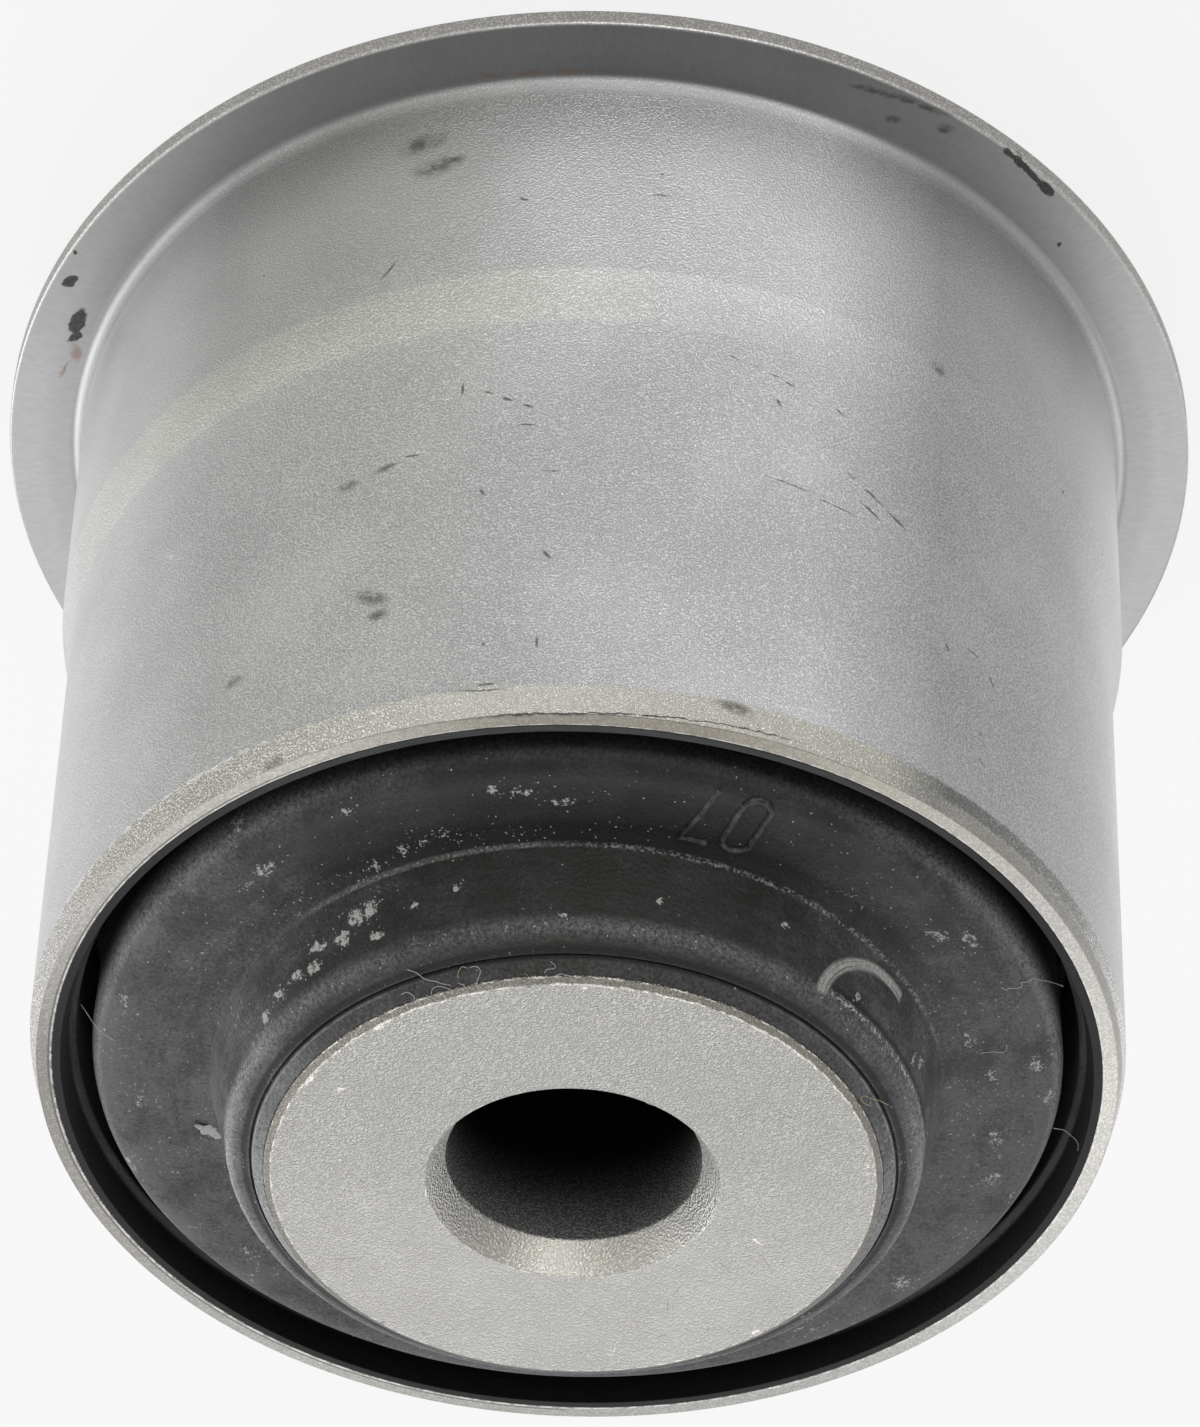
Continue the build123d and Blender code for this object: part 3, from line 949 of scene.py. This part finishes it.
    # a crayon stroke on the cone: an arch open towards the lip
    arch = crayonHook
    u, v = addNode(treeOf(place), "ShaderNodeSeparateXYZ", {0: coneFlat}).outputs[:2]
    across = calc("DIVIDE", minus(u, arch["middle"]), arch["halfWidth"])
    down = calc("DIVIDE", minus(arch["open"], v), arch["depth"])
    away = hypotenuse(across, down)
    streak = noise(joined(product(away, 60.0), product(turn, 0.12)), 1.0, 3, 3.0)
    hook = product(near(away, 1.0, 0.05, 0.105), ramp(u, arch["end"], arch["end"] - 0.3),
                   ramp(down, 0.0, 0.12), rest(outsideCone), ramp(streak, 0.3, 0.6, 0.3, 0.95),
                   mix(beads, 0.65, 1.0))

    # dust on the step in the lining and on the lining's end
    ledgeHeight = sleeveRim - look["ledgeDepth"] + look["ledgeSlope"] / 2
    onLedge = product(ramp(radius, liningRadius - 1.0, liningRadius - 0.8),
                      near(height, ledgeHeight, 0.2, 0.4))
    stripEnd = product(ramp(radius, liningRadius - 0.3, liningRadius - 0.1),
                       ramp(height, sleeveRim - 0.25, sleeveRim - 0.05),
                       near(turn, *stretch["liningDust"]))
    dusty = product(most(onLedge, product(stripEnd, 0.5)), ramp(flow, 0.35, 0.65, 0.25, 0.6))
    colour = blend(dusty, colour, look["bloomAndSheen"])
    light = product(frontEnd, most(product(flakes, 0.8), footLine, creaseLine, dotted, hook))
    colour = blend(light, colour, look["talc"])

    skin = noise(place, 0.25, 8, 2.0, 0.6)
    connect(shader, {
        "Base Color": colour, "Specular IOR Level": look["specular"],
        "Roughness": total(product(sheenAndBloom, 0.12), product(light, 0.4), look["roughness"]),
        "Sheen Weight": look["sheen"], "Normal": bump(skin, look["reliefDepth"])})
    return material


def rubberEnd(bore, liningEnd):
    # one moulded end, from the outer sleeve's bore in to the bolt sleeve; heights from mid-length
    look = rubberElement
    end = sleeveRim - midLength
    ledgeEdge = liningEnd - look["ledgeDepth"]
    lining = bore - look["lining"]
    ledge = lining - look["liningFlare"] - look["ledgeWidth"]
    flank = ledge - look["grooveWidth"]
    floor = end - look["grooveDepth"]
    foot = innerRadius + look["coneFoot"]
    edge = look["edge"]
    crease = innerRadius + look["crease"]
    creaseEdge = midLength - look["creaseDrop"]
    half = look["creaseWidth"] / 2
    return [
        (bore, liningEnd, edge),
        (lining, liningEnd, edge),
        (ledge + look["ledgeWidth"], ledgeEdge + look["ledgeSlope"], look["ledgeRadius"]),
        (ledge, ledgeEdge, look["ledgeRadius"]),
        (ledge, floor, look["floorRadius"]),
        (flank - look["grooveTaper"], floor, look["floorRadius"]),
        (flank, end + look["crestRise"], look["shoulderRadius"]),
        (foot + look["dishFootWidth"], end + look["crestRise"] - look["dishDepth"],
         look["dishFootRadius"]),
        (foot, end + look["coneFootRise"], edge),
        (innerRadius + look["lip"], midLength - look["lipDrop"], look["lipRadius"]),
        (crease + half, creaseEdge - half, look["creaseRadius"]),
        (crease, creaseEdge - look["creaseDepth"], look["creaseRadius"]),
        (crease - half, creaseEdge + half, look["creaseRadius"]),
        (innerRadius, midLength - look["collarDrop"], edge),
    ]


def makeRubberElement():
    look = rubberElement
    steel = outerSleeve
    nearBore = steel["press"] - steel["wall"]
    farBore = nearBore + steel["stepRise"]
    halfLength = sleeveRim - midLength
    bend = steel["rootRadius"] + steel["wall"]
    stepTop = sleeveRim - steel["stepStart"]
    stepFoot = stepTop - steel["stepHeight"]
    corners = [(r, midLength + h, blend) for r, h, blend in rubberEnd(nearBore, halfLength)]
    farEnd = rubberEnd(farBore, halfLength - bend)
    corners += [(r, midLength - h, blend) for r, h, blend in reversed(farEnd)]
    corners += [(farBore, stepFoot, look["stepRadius"]), (nearBore, stepTop, look["stepRadius"])]
    return turnedPiece("rubberElement", corners, look, makeMouldedRubber(), rubberLow, rubberHigh)


# What lies on the moulding: a raised mould number, crumbs of powder, lint and a torn flake

besideCone = 30.0  # a radius outside the cone and the lip


def surfaceFinders(piece):
    # two ways onto the piece: down onto its end, and inwards onto its cone and lip; each gives
    # a place in millimetres and the direction that the surface faces there
    finder = BVHTree.FromPolygons([v.co for v in piece.data.vertices],
                                  [p.vertices for p in piece.data.polygons])

    def find(turn, radius, height, direction):
        centre = onFace(turn, radius)[0]
        place, normal = finder.ray_cast(Vector((centre.x, centre.y, height)) * mm, direction)[:2]
        return place / mm, normal

    def down(turn, radius):
        return find(turn, radius, sleeveEnd, Vector((0, 0, -1)))

    def inwards(turn, height):
        return find(turn, besideCone, height, -onFace(turn, besideCone)[2])
    return down, inwards


mouldNumber = {"text": "07", "turn": 18.2, "pitch": 2.75, "radius": 27.2, "height": 5.3,
               "width": 2.2, "stroke": 0.42, "rise": 0.25, "worn": (0.11, 0.112, 0.108, 1.0),
               "dust": grey(0.22), "roughness": 0.45, "specular": 0.3, "reliefDepth": 0.03}


def digitPath(digit, w, h):
    # the middle line of a digit of half width w and half height h, and whether it closes
    if digit == "0":
        steps = 12
        arc = [(w * math.cos(math.pi * k / steps), h - w + w * math.sin(math.pi * k / steps))
               for k in range(steps + 1)]
        return arc + [(-x, -y) for x, y in arc], True
    return [(-w, h), (0, h), (w, h), (w * 0.3, h * 0.1), (-w * 0.3, -h)], False


def makeMouldNumber(down):
    look = mouldNumber
    curve = bpy.data.curves.new("mouldNumber", "CURVE")
    curve.dimensions = "3D"
    curve.bevel_depth = look["stroke"] / 2 * mm
    curve.bevel_resolution = 3
    curve.use_fill_caps = True
    halfWidth, halfHeight = ((look[side] - look["stroke"]) / 2 for side in ("width", "height"))
    for i, digit in enumerate(look["text"]):
        shift = ((len(look["text"]) - 1) / 2 - i) * math.degrees(look["pitch"] / look["radius"])
        centre, around, outward = onFace(look["turn"] + shift, look["radius"])
        path, closed = digitPath(digit, halfWidth, halfHeight)
        spline = curve.splines.new("POLY")
        spline.points.add(len(path) - 1)
        spline.use_cyclic_u = closed
        for point, (x, y) in zip(spline.points, path):
            place = centre - around * x - outward * y
            point.co = (*(place * mm).xy, 0, 1)
    mesh = meshFrom(newObject("mouldNumberLine", curve), "mouldNumber")
    for vertex in mesh.vertices:  # bent to the face, and half sunk in it
        turn = math.degrees(math.atan2(-vertex.co.x, -vertex.co.y))
        face = down(turn, vertex.co.xy.length / mm)[0]
        vertex.co.z += (face.z + look["rise"] - look["stroke"] / 2) * mm
    mesh.materials.append(makeWornRubber())
    mesh.shade_smooth()
    return newObject("mouldNumber", mesh)


def makeWornRubber():
    # the number's crest catches dust, unevenly
    look = mouldNumber
    material, shader, coordinates = newMaterial("wornRubber")
    dust = noise(coordinates["Position"], 0.5, 5, 3.0, 0.7)
    colour = blend(ramp(dust, 0.3, 0.75), rubberElement["rubber"], look["worn"])
    colour = blend(ramp(dust, 0.66, 0.72, 0.0, 0.7), colour, look["dust"])
    connect(shader, {
        "Base Color": colour, "Roughness": look["roughness"],
        "Specular IOR Level": look["specular"], "Normal": bump(dust, look["reliefDepth"])})
    return material


# crumbs: how many on each patch by its size, on the lip, on the fold and scattered, then the
# middle and spread of where these lie, or the ends of where they may
powderCrumbs = {"onFace": 10, "onFaceLeast": 2, "onCone": 16, "onLip": 150, "onFold": 90,
                "scattered": 330, "faceSpread": 0.5, "coneSpread": 0.4, "lipDrop": 2.2,
                "lipSpread": 0.35, "foldTurn": (-24, 16), "foldRadius": (24.0, 0.5),
                "scatterTurn": (0, 90), "scatterRadius": (24, 30.8),
                "smallest": 0.018, "largest": 0.075, "flatness": 0.5, "seed": 7}


def makeCrumbTree():
    # sets a flattened crumb on each point, turned at random
    tree, given = geometryGroup("powderCrumbs", [
        ("Smallest", "Float", 0.0001), ("Largest", "Float", 0.0003), ("Flatness", "Float", 0.5),
        ("Seed", "Int", 1)])
    ball = addNode(tree, "GeometryNodeMeshIcoSphere", {"Radius": 1.0, "Subdivisions": 1})
    normal = addNode(tree, "GeometryNodeInputNamedAttribute", {"Name": "facing"},
                     data_type="FLOAT_VECTOR")
    upright = addNode(tree, "FunctionNodeAlignRotationToVector", {
        "Vector": normal.outputs["Attribute"]}, axis="Z")
    spin = addNode(tree, "FunctionNodeRandomValue", {
        2: 0.0, 3: math.tau, "Seed": given["Seed"]}, data_type="FLOAT")
    spun = addNode(tree, "FunctionNodeRotateRotation", {
        "Rotation": upright.outputs[0],
        "Rotate By": joined(0.0, 0.0, spin.outputs[1])}, rotation_space="LOCAL")
    size = addNode(tree, "FunctionNodeRandomValue", {
        2: given["Smallest"], 3: given["Largest"],
        "Seed": calc("ADD", given["Seed"], 1)}, data_type="FLOAT").outputs[1]
    scale = joined(product(size, 1.3), product(size, 0.8), product(size, given["Flatness"]))
    placed = addNode(tree, "GeometryNodeInstanceOnPoints", {
        "Points": given["Geometry"], "Instance": ball.outputs["Mesh"],
        "Rotation": spun.outputs[0], "Scale": scale})
    return closeTree(tree, placed.outputs[0], given)


def makeTalc():
    material, shader, coordinates = newMaterial("talc")
    tone = noise(coordinates["Position"], 0.12, 4)
    colour = blend(tone, grey(0.34), rubberElement["talc"])
    connect(shader, {"Base Color": colour, "Roughness": 0.9, "Normal": bump(tone, 0.03)})
    return material


def makePowderCrumbs(down, inwards, talc):
    look = powderCrumbs
    dice = random.Random(look["seed"])
    found = []
    for (length, width, lean), places in facePatches.items():
        crumbs = round(look["onFace"] * (length * width) ** 0.5 + look["onFaceLeast"])
        for turn, radius in places * crumbs:
            found.append(down(dice.gauss(turn, math.degrees(length / radius) * look["faceSpread"]),
                              dice.gauss(radius, width * look["faceSpread"])))
    for (length, width, lean), places in conePatches.items():
        reach = math.degrees(length / innerRadius) * look["faceSpread"]
        for turn, height in places * round(look["onCone"] * (length * width) ** 0.5):
            found.append(inwards(dice.gauss(turn, reach),
                                 dice.gauss(height, width * look["coneSpread"])))
    for k in range(look["onLip"]):
        found.append(inwards(dice.uniform(-180, 180),
                             dice.gauss(sleeveEnd - look["lipDrop"], look["lipSpread"])))
    for k in range(look["onFold"]):
        found.append(down(dice.gauss(*look["foldTurn"]), dice.gauss(*look["foldRadius"])))
    for k in range(look["scattered"]):
        found.append(down(dice.gauss(*look["scatterTurn"]), dice.uniform(*look["scatterRadius"])))
    points = newLines("powderPoints", [place * mm for place, normal in found], [])
    facing = points.data.attributes.new("facing", "FLOAT_VECTOR", "POINT")
    facing.data.foreach_set("vector", [part for place, normal in found for part in normal])
    print("powder:", len(found), "crumbs")
    return finishedMesh(points, makeCrumbTree(), {
        "Smallest": look["smallest"] * mm, "Largest": look["largest"] * mm,
        "Flatness": look["flatness"], "Seed": look["seed"], "Material": talc}, "powderCrumbs")


lint = {"thickness": 0.045, "sides": 5, "curl": 0.10, "curlSize": 0.9, "step": 0.12,
        "white": grey(0.52), "yellow": (0.50, 0.42, 0.16, 1.0), "red": (0.35, 0.06, 0.10, 1.0)}

# each fibre is a list of (turn, radius, height) points
whiteFibres = [
    [(-30.1, 21.1, 71.95), (-28.7, 20.7, 72.15), (-27.8, 20.3, 72.4), (-26.0, 20.1, 72.65),
     (-25.1, 19.9, 72.8), (-23.6, 19.75, 72.95)],
    [(-27.5, 19.55, 73.1), (-27.0, 19.8, 72.95), (-26.0, 19.9, 72.9), (-24.8, 19.75, 73.0),
     (-23.5, 19.5, 73.2)],
    [(-33.1, 20.0, 72.7), (-31.9, 20.0, 72.7), (-31.1, 19.9, 72.85), (-30.8, 19.7, 73.0),
     (-31.1, 19.6, 73.1)],
    [(-19.4, 20.3, 72.35), (-18.2, 20.3, 72.4), (-17.6, 20.1, 72.65), (-18.3, 19.8, 72.95),
     (-19.1, 19.5, 73.1)],
    [(-22.0, 19.8, 72.95), (-21.5, 19.7, 73.05), (-20.9, 19.6, 73.1)],
    [(-5.3, 20.2, 72.5), (-4.4, 20.0, 72.7), (-4.8, 19.9, 72.85), (-5.9, 19.85, 72.85),
     (-6.3, 19.7, 73.0)],
    [(-6.0, 19.55, 73.2), (-4.7, 19.55, 73.15), (-3.7, 19.65, 73.05), (-2.5, 19.6, 73.1),
     (-0.9, 19.55, 73.22)],
    [(66.3, 28.7, 65.8), (66.9, 28.9, 65.8), (66.8, 29.2, 65.8), (67.5, 29.6, 65.65),
     (67.5, 29.9, 65.5), (66.9, 29.9, 65.5), (67.2, 30.1, 65.4), (67.6, 30.4, 65.2),
     (67.9, 30.6, 64.95), (68.8, 30.9, 64.8), (69.3, 31.2, 64.7), (70.3, 31.6, 64.5),
     (71.2, 31.9, 64.4), (71.1, 32.0, 64.5), (70.6, 31.95, 64.6)],
    [(79.0, 25.9, 65.6), (78.8, 26.6, 65.65), (79.0, 27.1, 65.7), (78.8, 27.5, 65.7),
     (78.1, 27.65, 65.72), (77.4, 27.66, 65.72)],
    [(-81.5, 31.9, 64.0), (-82.0, 31.4, 64.5), (-82.5, 30.9, 65.0), (-82.9, 30.4, 65.4),
     (-83.4, 29.9, 65.55), (-83.7, 29.5, 65.65)],
    [(95.5, 30.8, 64.9), (96.6, 31.6, 64.5), (97.6, 32.3, 64.5), (98.3, 32.7, 64.6),
     (99.0, 32.8, 64.9)],
    [(-20.0, 32.9, 65.2), (-20.6, 32.6, 64.9), (-20.9, 32.3, 64.7)],
]
yellowFibres = [
    [(-21.9, 20.0, 72.75), (-21.6, 20.2, 72.5), (-20.7, 20.4, 72.3), (-19.8, 20.3, 72.4)],
    [(69.4, 20.8, 72.15), (67.3, 20.45, 72.3), (65.3, 20.1, 72.55), (63.6, 19.95, 72.8),
     (63.2, 19.75, 72.95), (64.4, 19.7, 73.0), (65.8, 19.85, 72.9), (66.2, 20.0, 72.8),
     (65.6, 20.05, 72.7)],
    [(29.2, 9.0, 73.1), (30.3, 9.2, 73.32), (31.4, 9.1, 73.22), (30.7, 8.95, 73.05)],
]
redFibres = [
    [(-9.9, 19.75, 72.95), (-9.3, 19.6, 73.1), (-8.8, 19.5, 73.2), (-8.7, 19.7, 73.05)],
]


def makeFibreTree():
    # a smooth line through the points, curled a little and given a round section
    tree, given = geometryGroup("lintFibre", [
        ("Thickness", "Float", 0.0001), ("Sides", "Int", 5), ("Curl", "Float", 0.0001),
        ("Curl Size", "Float", 0.001), ("Step", "Float", 0.0001)])
    line = addNode(tree, "GeometryNodeMeshToCurve", {"Mesh": given["Geometry"]})
    smooth = addNode(tree, "GeometryNodeCurveSplineType", {"Curve": line.outputs[0]},
                     spline_type="CATMULL_ROM")
    fine = addNode(tree, "GeometryNodeResampleCurve", {
        "Curve": smooth.outputs[0], "Length": given["Step"]}, mode="LENGTH")
    wave = addNode(tree, "ShaderNodeTexNoise", {
        "Vector": addNode(tree, "GeometryNodeInputPosition").outputs[0],
        "Scale": calc("DIVIDE", 1.0, given["Curl Size"]), "Detail": 1.0})
    centred = vectorMath("SUBTRACT", wave.outputs["Color"], (0.5, 0.5, 0.5))
    curled = addNode(tree, "GeometryNodeSetPosition", {
        "Geometry": fine.outputs[0], "Offset": vectorMath("SCALE", centred, given["Curl"])})
    tube = roundTube(tree, curled, given["Sides"], given["Thickness"])
    return closeTree(tree, tube, given)


def roundTube(tree, line, sides, thickness):
    ring = addNode(tree, "GeometryNodeCurvePrimitiveCircle", {
        "Resolution": sides, "Radius": product(thickness, 0.5)})
    return addNode(tree, "GeometryNodeCurveToMesh", {
        "Curve": line.outputs[0], "Profile Curve": ring.outputs[0], "Fill Caps": True}).outputs[0]


def makeFibreMaterial(name, colour):
    material, shader, coordinates = newMaterial(name)
    strand = noise(coordinates["Position"], 0.3, 6)
    faded = [(own + pale) / 2 for own, pale in zip(colour, grey(0.6))]
    colour = blend(ramp(strand, 0.3, 0.7), colour, faded)
    connect(shader, {"Base Color": colour, "Roughness": 0.7, "Normal": bump(strand, 0.01)})
    return material


def makeFibres(name, fibres, fibreTree, colour):
    look = lint
    points = []
    edges = []
    for fibre in fibres:
        start = len(points)
        for turn, radius, height in fibre:
            centre = onFace(turn, radius)[0]
            points.append(Vector((centre.x, centre.y, height)) * mm)
        edges += [(start + k, start + k + 1) for k in range(len(fibre) - 1)]
    return finishedMesh(newLines(name + "Lines", points, edges), fibreTree, {
        "Thickness": look["thickness"] * mm, "Sides": look["sides"], "Curl": look["curl"] * mm,
        "Curl Size": look["curlSize"] * mm, "Step": look["step"] * mm,
        "Material": makeFibreMaterial(name, colour)}, name)


tornFlake = {"turn": -102.8, "radius": 24.1, "length": 2.3, "width": 0.95, "lean": 40,
             "thickness": 0.1, "curl": 0.15, "rows": 15, "tipWidth": 0.1,
             "ragged": (0.35, 1.3), "crumple": 0.05, "seed": 11}


def makeTornFlake(down, talc):
    # a ragged scrap of flash, lying on the rubber with its edge curled up
    look = tornFlake
    dice = random.Random(look["seed"])
    centre, around, outward = onFace(look["turn"], look["radius"])
    lean = math.radians(look["lean"])
    along = around * math.cos(lean) + outward * math.sin(lean)
    across = outward * math.cos(lean) - around * math.sin(lean)
    middle = down(look["turn"], look["radius"])[0]
    points = []
    for k in range(look["rows"]):
        t = k / (look["rows"] - 1) * 2 - 1
        half = look["width"] / 2 * (1 - t * t) ** 0.5 + look["tipWidth"] / 2
        for side in (-1, 0, 1):
            ragged = half * dice.uniform(*look["ragged"]) * side
            lift = (look["thickness"] / 2 + look["curl"] * max(0, t) ** 2
                    + dice.uniform(0, look["crumple"]))
            place = centre + along * (t * look["length"] / 2) + across * ragged
            points.append(Vector((place.x, place.y, middle.z + lift)) * mm)
    faces = [(3 * k + s, 3 * k + s + 1, 3 * k + s + 4, 3 * k + s + 3)
             for k in range(look["rows"] - 1) for s in range(2)]
    mesh = bpy.data.meshes.new("tornFlake")
    mesh.from_pydata(points, [], faces)
    mesh.materials.append(talc)
    flake = newObject("tornFlakeSheet", mesh)
    wall = flake.modifiers.new("wall", "SOLIDIFY")
    wall.thickness = look["thickness"] * mm
    wall.offset = 0
    softened = flake.modifiers.new("softened", "SUBSURF")
    softened.levels = softened.render_levels = 1
    return newObject("tornFlake", meshFrom(flake, "tornFlake"))


lipFlash = {"from": -88.0, "to": -118.0, "height": 71.2, "thickness": 0.26, "ragged": 0.5,
            "wave": 0.12, "waveStep": 0.35, "sides": 6, "steps": 70, "seed": 5}


def makeFlashTree():
    # a lumpy bead along the line, thick and thin by turns
    tree, given = geometryGroup("lipFlash", [
        ("Thickness", "Float", 0.0002), ("Ragged", "Float", 0.5), ("Seed", "Int", 1)])
    line = addNode(tree, "GeometryNodeMeshToCurve", {"Mesh": given["Geometry"]})
    width = addNode(tree, "FunctionNodeRandomValue", {
        2: rest(given["Ragged"]), 3: calc("ADD", 1.0, given["Ragged"]),
        "Seed": given["Seed"]}, data_type="FLOAT").outputs[1]
    varied = addNode(tree, "GeometryNodeSetCurveRadius", {
        "Curve": line.outputs[0], "Radius": width})
    return closeTree(tree, roundTube(tree, varied, lipFlash["sides"], given["Thickness"]), given)


def makeLipFlash(inwards, talc):
    # a torn line of thin flash and caked powder, along the outside of the lip
    look = lipFlash
    dice = random.Random(look["seed"])
    points = []
    for k in range(look["steps"] + 1):
        turn = look["from"] + (look["to"] - look["from"]) * k / look["steps"]
        height = (look["height"] + math.sin(k * look["waveStep"]) * look["wave"]
                  + dice.uniform(-look["wave"], look["wave"]))
        place, normal = inwards(turn, height)
        points.append((place + normal * look["thickness"] * 0.2) * mm)
    line = newLines("lipFlashLine", points, [(k, k + 1) for k in range(look["steps"])])
    return finishedMesh(line, makeFlashTree(), {
        "Thickness": look["thickness"] * mm, "Ragged": look["ragged"], "Seed": look["seed"],
        "Material": talc}, "lipFlash")


sleeve = makeOuterSleeve()
tube = makeInnerSleeve()
rubber = makeRubberElement()
down, inwards = surfaceFinders(rubber)
talc = makeTalc()
fibreTree = makeFibreTree()
bodyPieces = [
    (sleeve, "outer_sleeve", "coated_steel"), (tube, "inner_sleeve", "bare_steel"),
    (rubber, "rubber_element", "rubber"), (makeMouldNumber(down), None, "rubber"),
    (makePowderCrumbs(down, inwards, talc), None, "rubber"),
    (makeTornFlake(down, talc), None, "rubber"), (makeLipFlash(inwards, talc), None, "rubber"),
    (makeFibres("whiteLint", whiteFibres, fibreTree, lint["white"]), None, "rubber"),
    (makeFibres("yellowLint", yellowFibres, fibreTree, lint["yellow"]), None, "rubber"),
    (makeFibres("redLint", redFibres, fibreTree, lint["red"]), None, "rubber"),
]
for piece, node, slot in bodyPieces:
    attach(piece, "root")
    if node:
        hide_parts(node)
print(len(bodyPieces), "pieces ride on the body")


# Camera, lamps and floor

view = {
    "place": (0.0, -324.11, sleeveEnd + 266.63),
    "right": (-0.999370, -0.025526, -0.024644),
    "up": (0.035447, -0.687826, -0.725009),
    "lens": 199.66, "frameWidth": 36.0,
}


def makeCamera():
    camera = newObject("camera", bpy.data.cameras.new("camera"))
    right = Vector(view["right"])
    up = Vector(view["up"])
    turn = Matrix((right, up, right.cross(up))).transposed()
    camera.matrix_world = Matrix.Translation(Vector(view["place"]) * mm) @ turn.to_4x4()
    camera.data.sensor_fit = "HORIZONTAL"
    camera.data.sensor_width = view["frameWidth"]
    camera.data.lens = view["lens"]
    camera.data.clip_start = 0.01
    bpy.context.scene.camera = camera


# places and sizes of the lamps are in metres
lamps = {
    "front": {"place": (-0.15, -0.9, 0.25), "size": (0.7, 0.35), "brightness": 4.2},
    "left": {"place": (0.9, -0.1, 0.15), "size": (0.5, 0.5), "brightness": 1.7},
    "backLeft": {"place": (0.9, 0.5, 0.35), "size": (0.6, 0.6), "brightness": 4.3},
    "backRight": {"place": (-0.9, 0.5, 0.35), "size": (0.6, 0.6), "brightness": 1.2},
    "above": {"place": (0.0, 0.5, 0.9), "size": (0.8, 0.8), "brightness": 1.9},
}


def makeLamp(name, lamp):
    light = bpy.data.lights.new(name, "AREA")
    light.shape = "RECTANGLE"
    light.size, light.size_y = lamp["size"]
    light.energy = lamp["brightness"] * math.pi * light.size * light.size_y
    holder = newObject(name, light)
    place = Vector(lamp["place"])
    aim = (Vector((0, 0, midLength * mm)) - place).to_track_quat("-Z", "Y")
    holder.matrix_world = Matrix.Translation(place) @ aim.to_matrix().to_4x4()
    holder.visible_camera = False


# how bright the surroundings are for soft light, in mirrors and to the camera, and the floor's
# grey and how much it glows; its half size is in metres
backdrop = {"soft": 0.15, "mirrored": 0.75, "seen": 1.0, "floor": 0.8, "floorGlow": 0.85,
            "floorMirrorGlow": 0.6, "floorHalf": 1.5}


def makeWorld():
    world = bpy.data.worlds.new("studio")
    world.use_nodes = True
    bpy.context.scene.world = world
    tree = world.node_tree
    tree.nodes.clear()
    rays = addNode(tree, "ShaderNodeLightPath").outputs
    soft, mirrored, seen = (
        addNode(tree, "ShaderNodeBackground", {
            "Color": grey(1.0), "Strength": backdrop[part]}).outputs[0]
        for part in ("soft", "mirrored", "seen"))
    glossy = addNode(tree, "ShaderNodeMixShader", {0: rays["Is Glossy Ray"], 1: soft, 2: mirrored})
    direct = addNode(tree, "ShaderNodeMixShader", {
        0: rays["Is Camera Ray"], 1: glossy.outputs[0], 2: seen})
    addNode(tree, "ShaderNodeOutputWorld", {"Surface": direct.outputs[0]})


def makeFloor():
    half = backdrop["floorHalf"]
    mesh = bpy.data.meshes.new("floor")
    mesh.from_pydata([(-half, -half, 0), (half, -half, 0), (half, half, 0), (-half, half, 0)],
                     [], [(0, 1, 2, 3)])
    floor = newObject("floor", mesh)
    paper = bpy.data.materials.new("paper")
    paper.use_nodes = True
    tree = paper.node_tree
    tree.nodes.clear()
    rays = addNode(tree, "ShaderNodeLightPath").outputs
    matt = addNode(tree, "ShaderNodeBsdfDiffuse", {"Color": grey(backdrop["floor"])})
    glow = addNode(tree, "ShaderNodeEmission", {"Color": grey(1.0), "Strength": 1.0})
    share = total(product(rays["Is Camera Ray"], backdrop["floorGlow"]),
                  product(rays["Is Glossy Ray"], backdrop["floorMirrorGlow"]))
    lit = addNode(tree, "ShaderNodeMixShader", {0: share, 1: matt.outputs[0], 2: glow.outputs[0]})
    addNode(tree, "ShaderNodeOutputMaterial", {"Surface": lit.outputs[0]})
    mesh.materials.append(paper)


makeCamera()
for name, lamp in lamps.items():
    makeLamp(name, lamp)
makeWorld()
makeFloor()
bpy.context.scene.view_settings.view_transform = "Standard"
print("camera, lamps and floor are up")
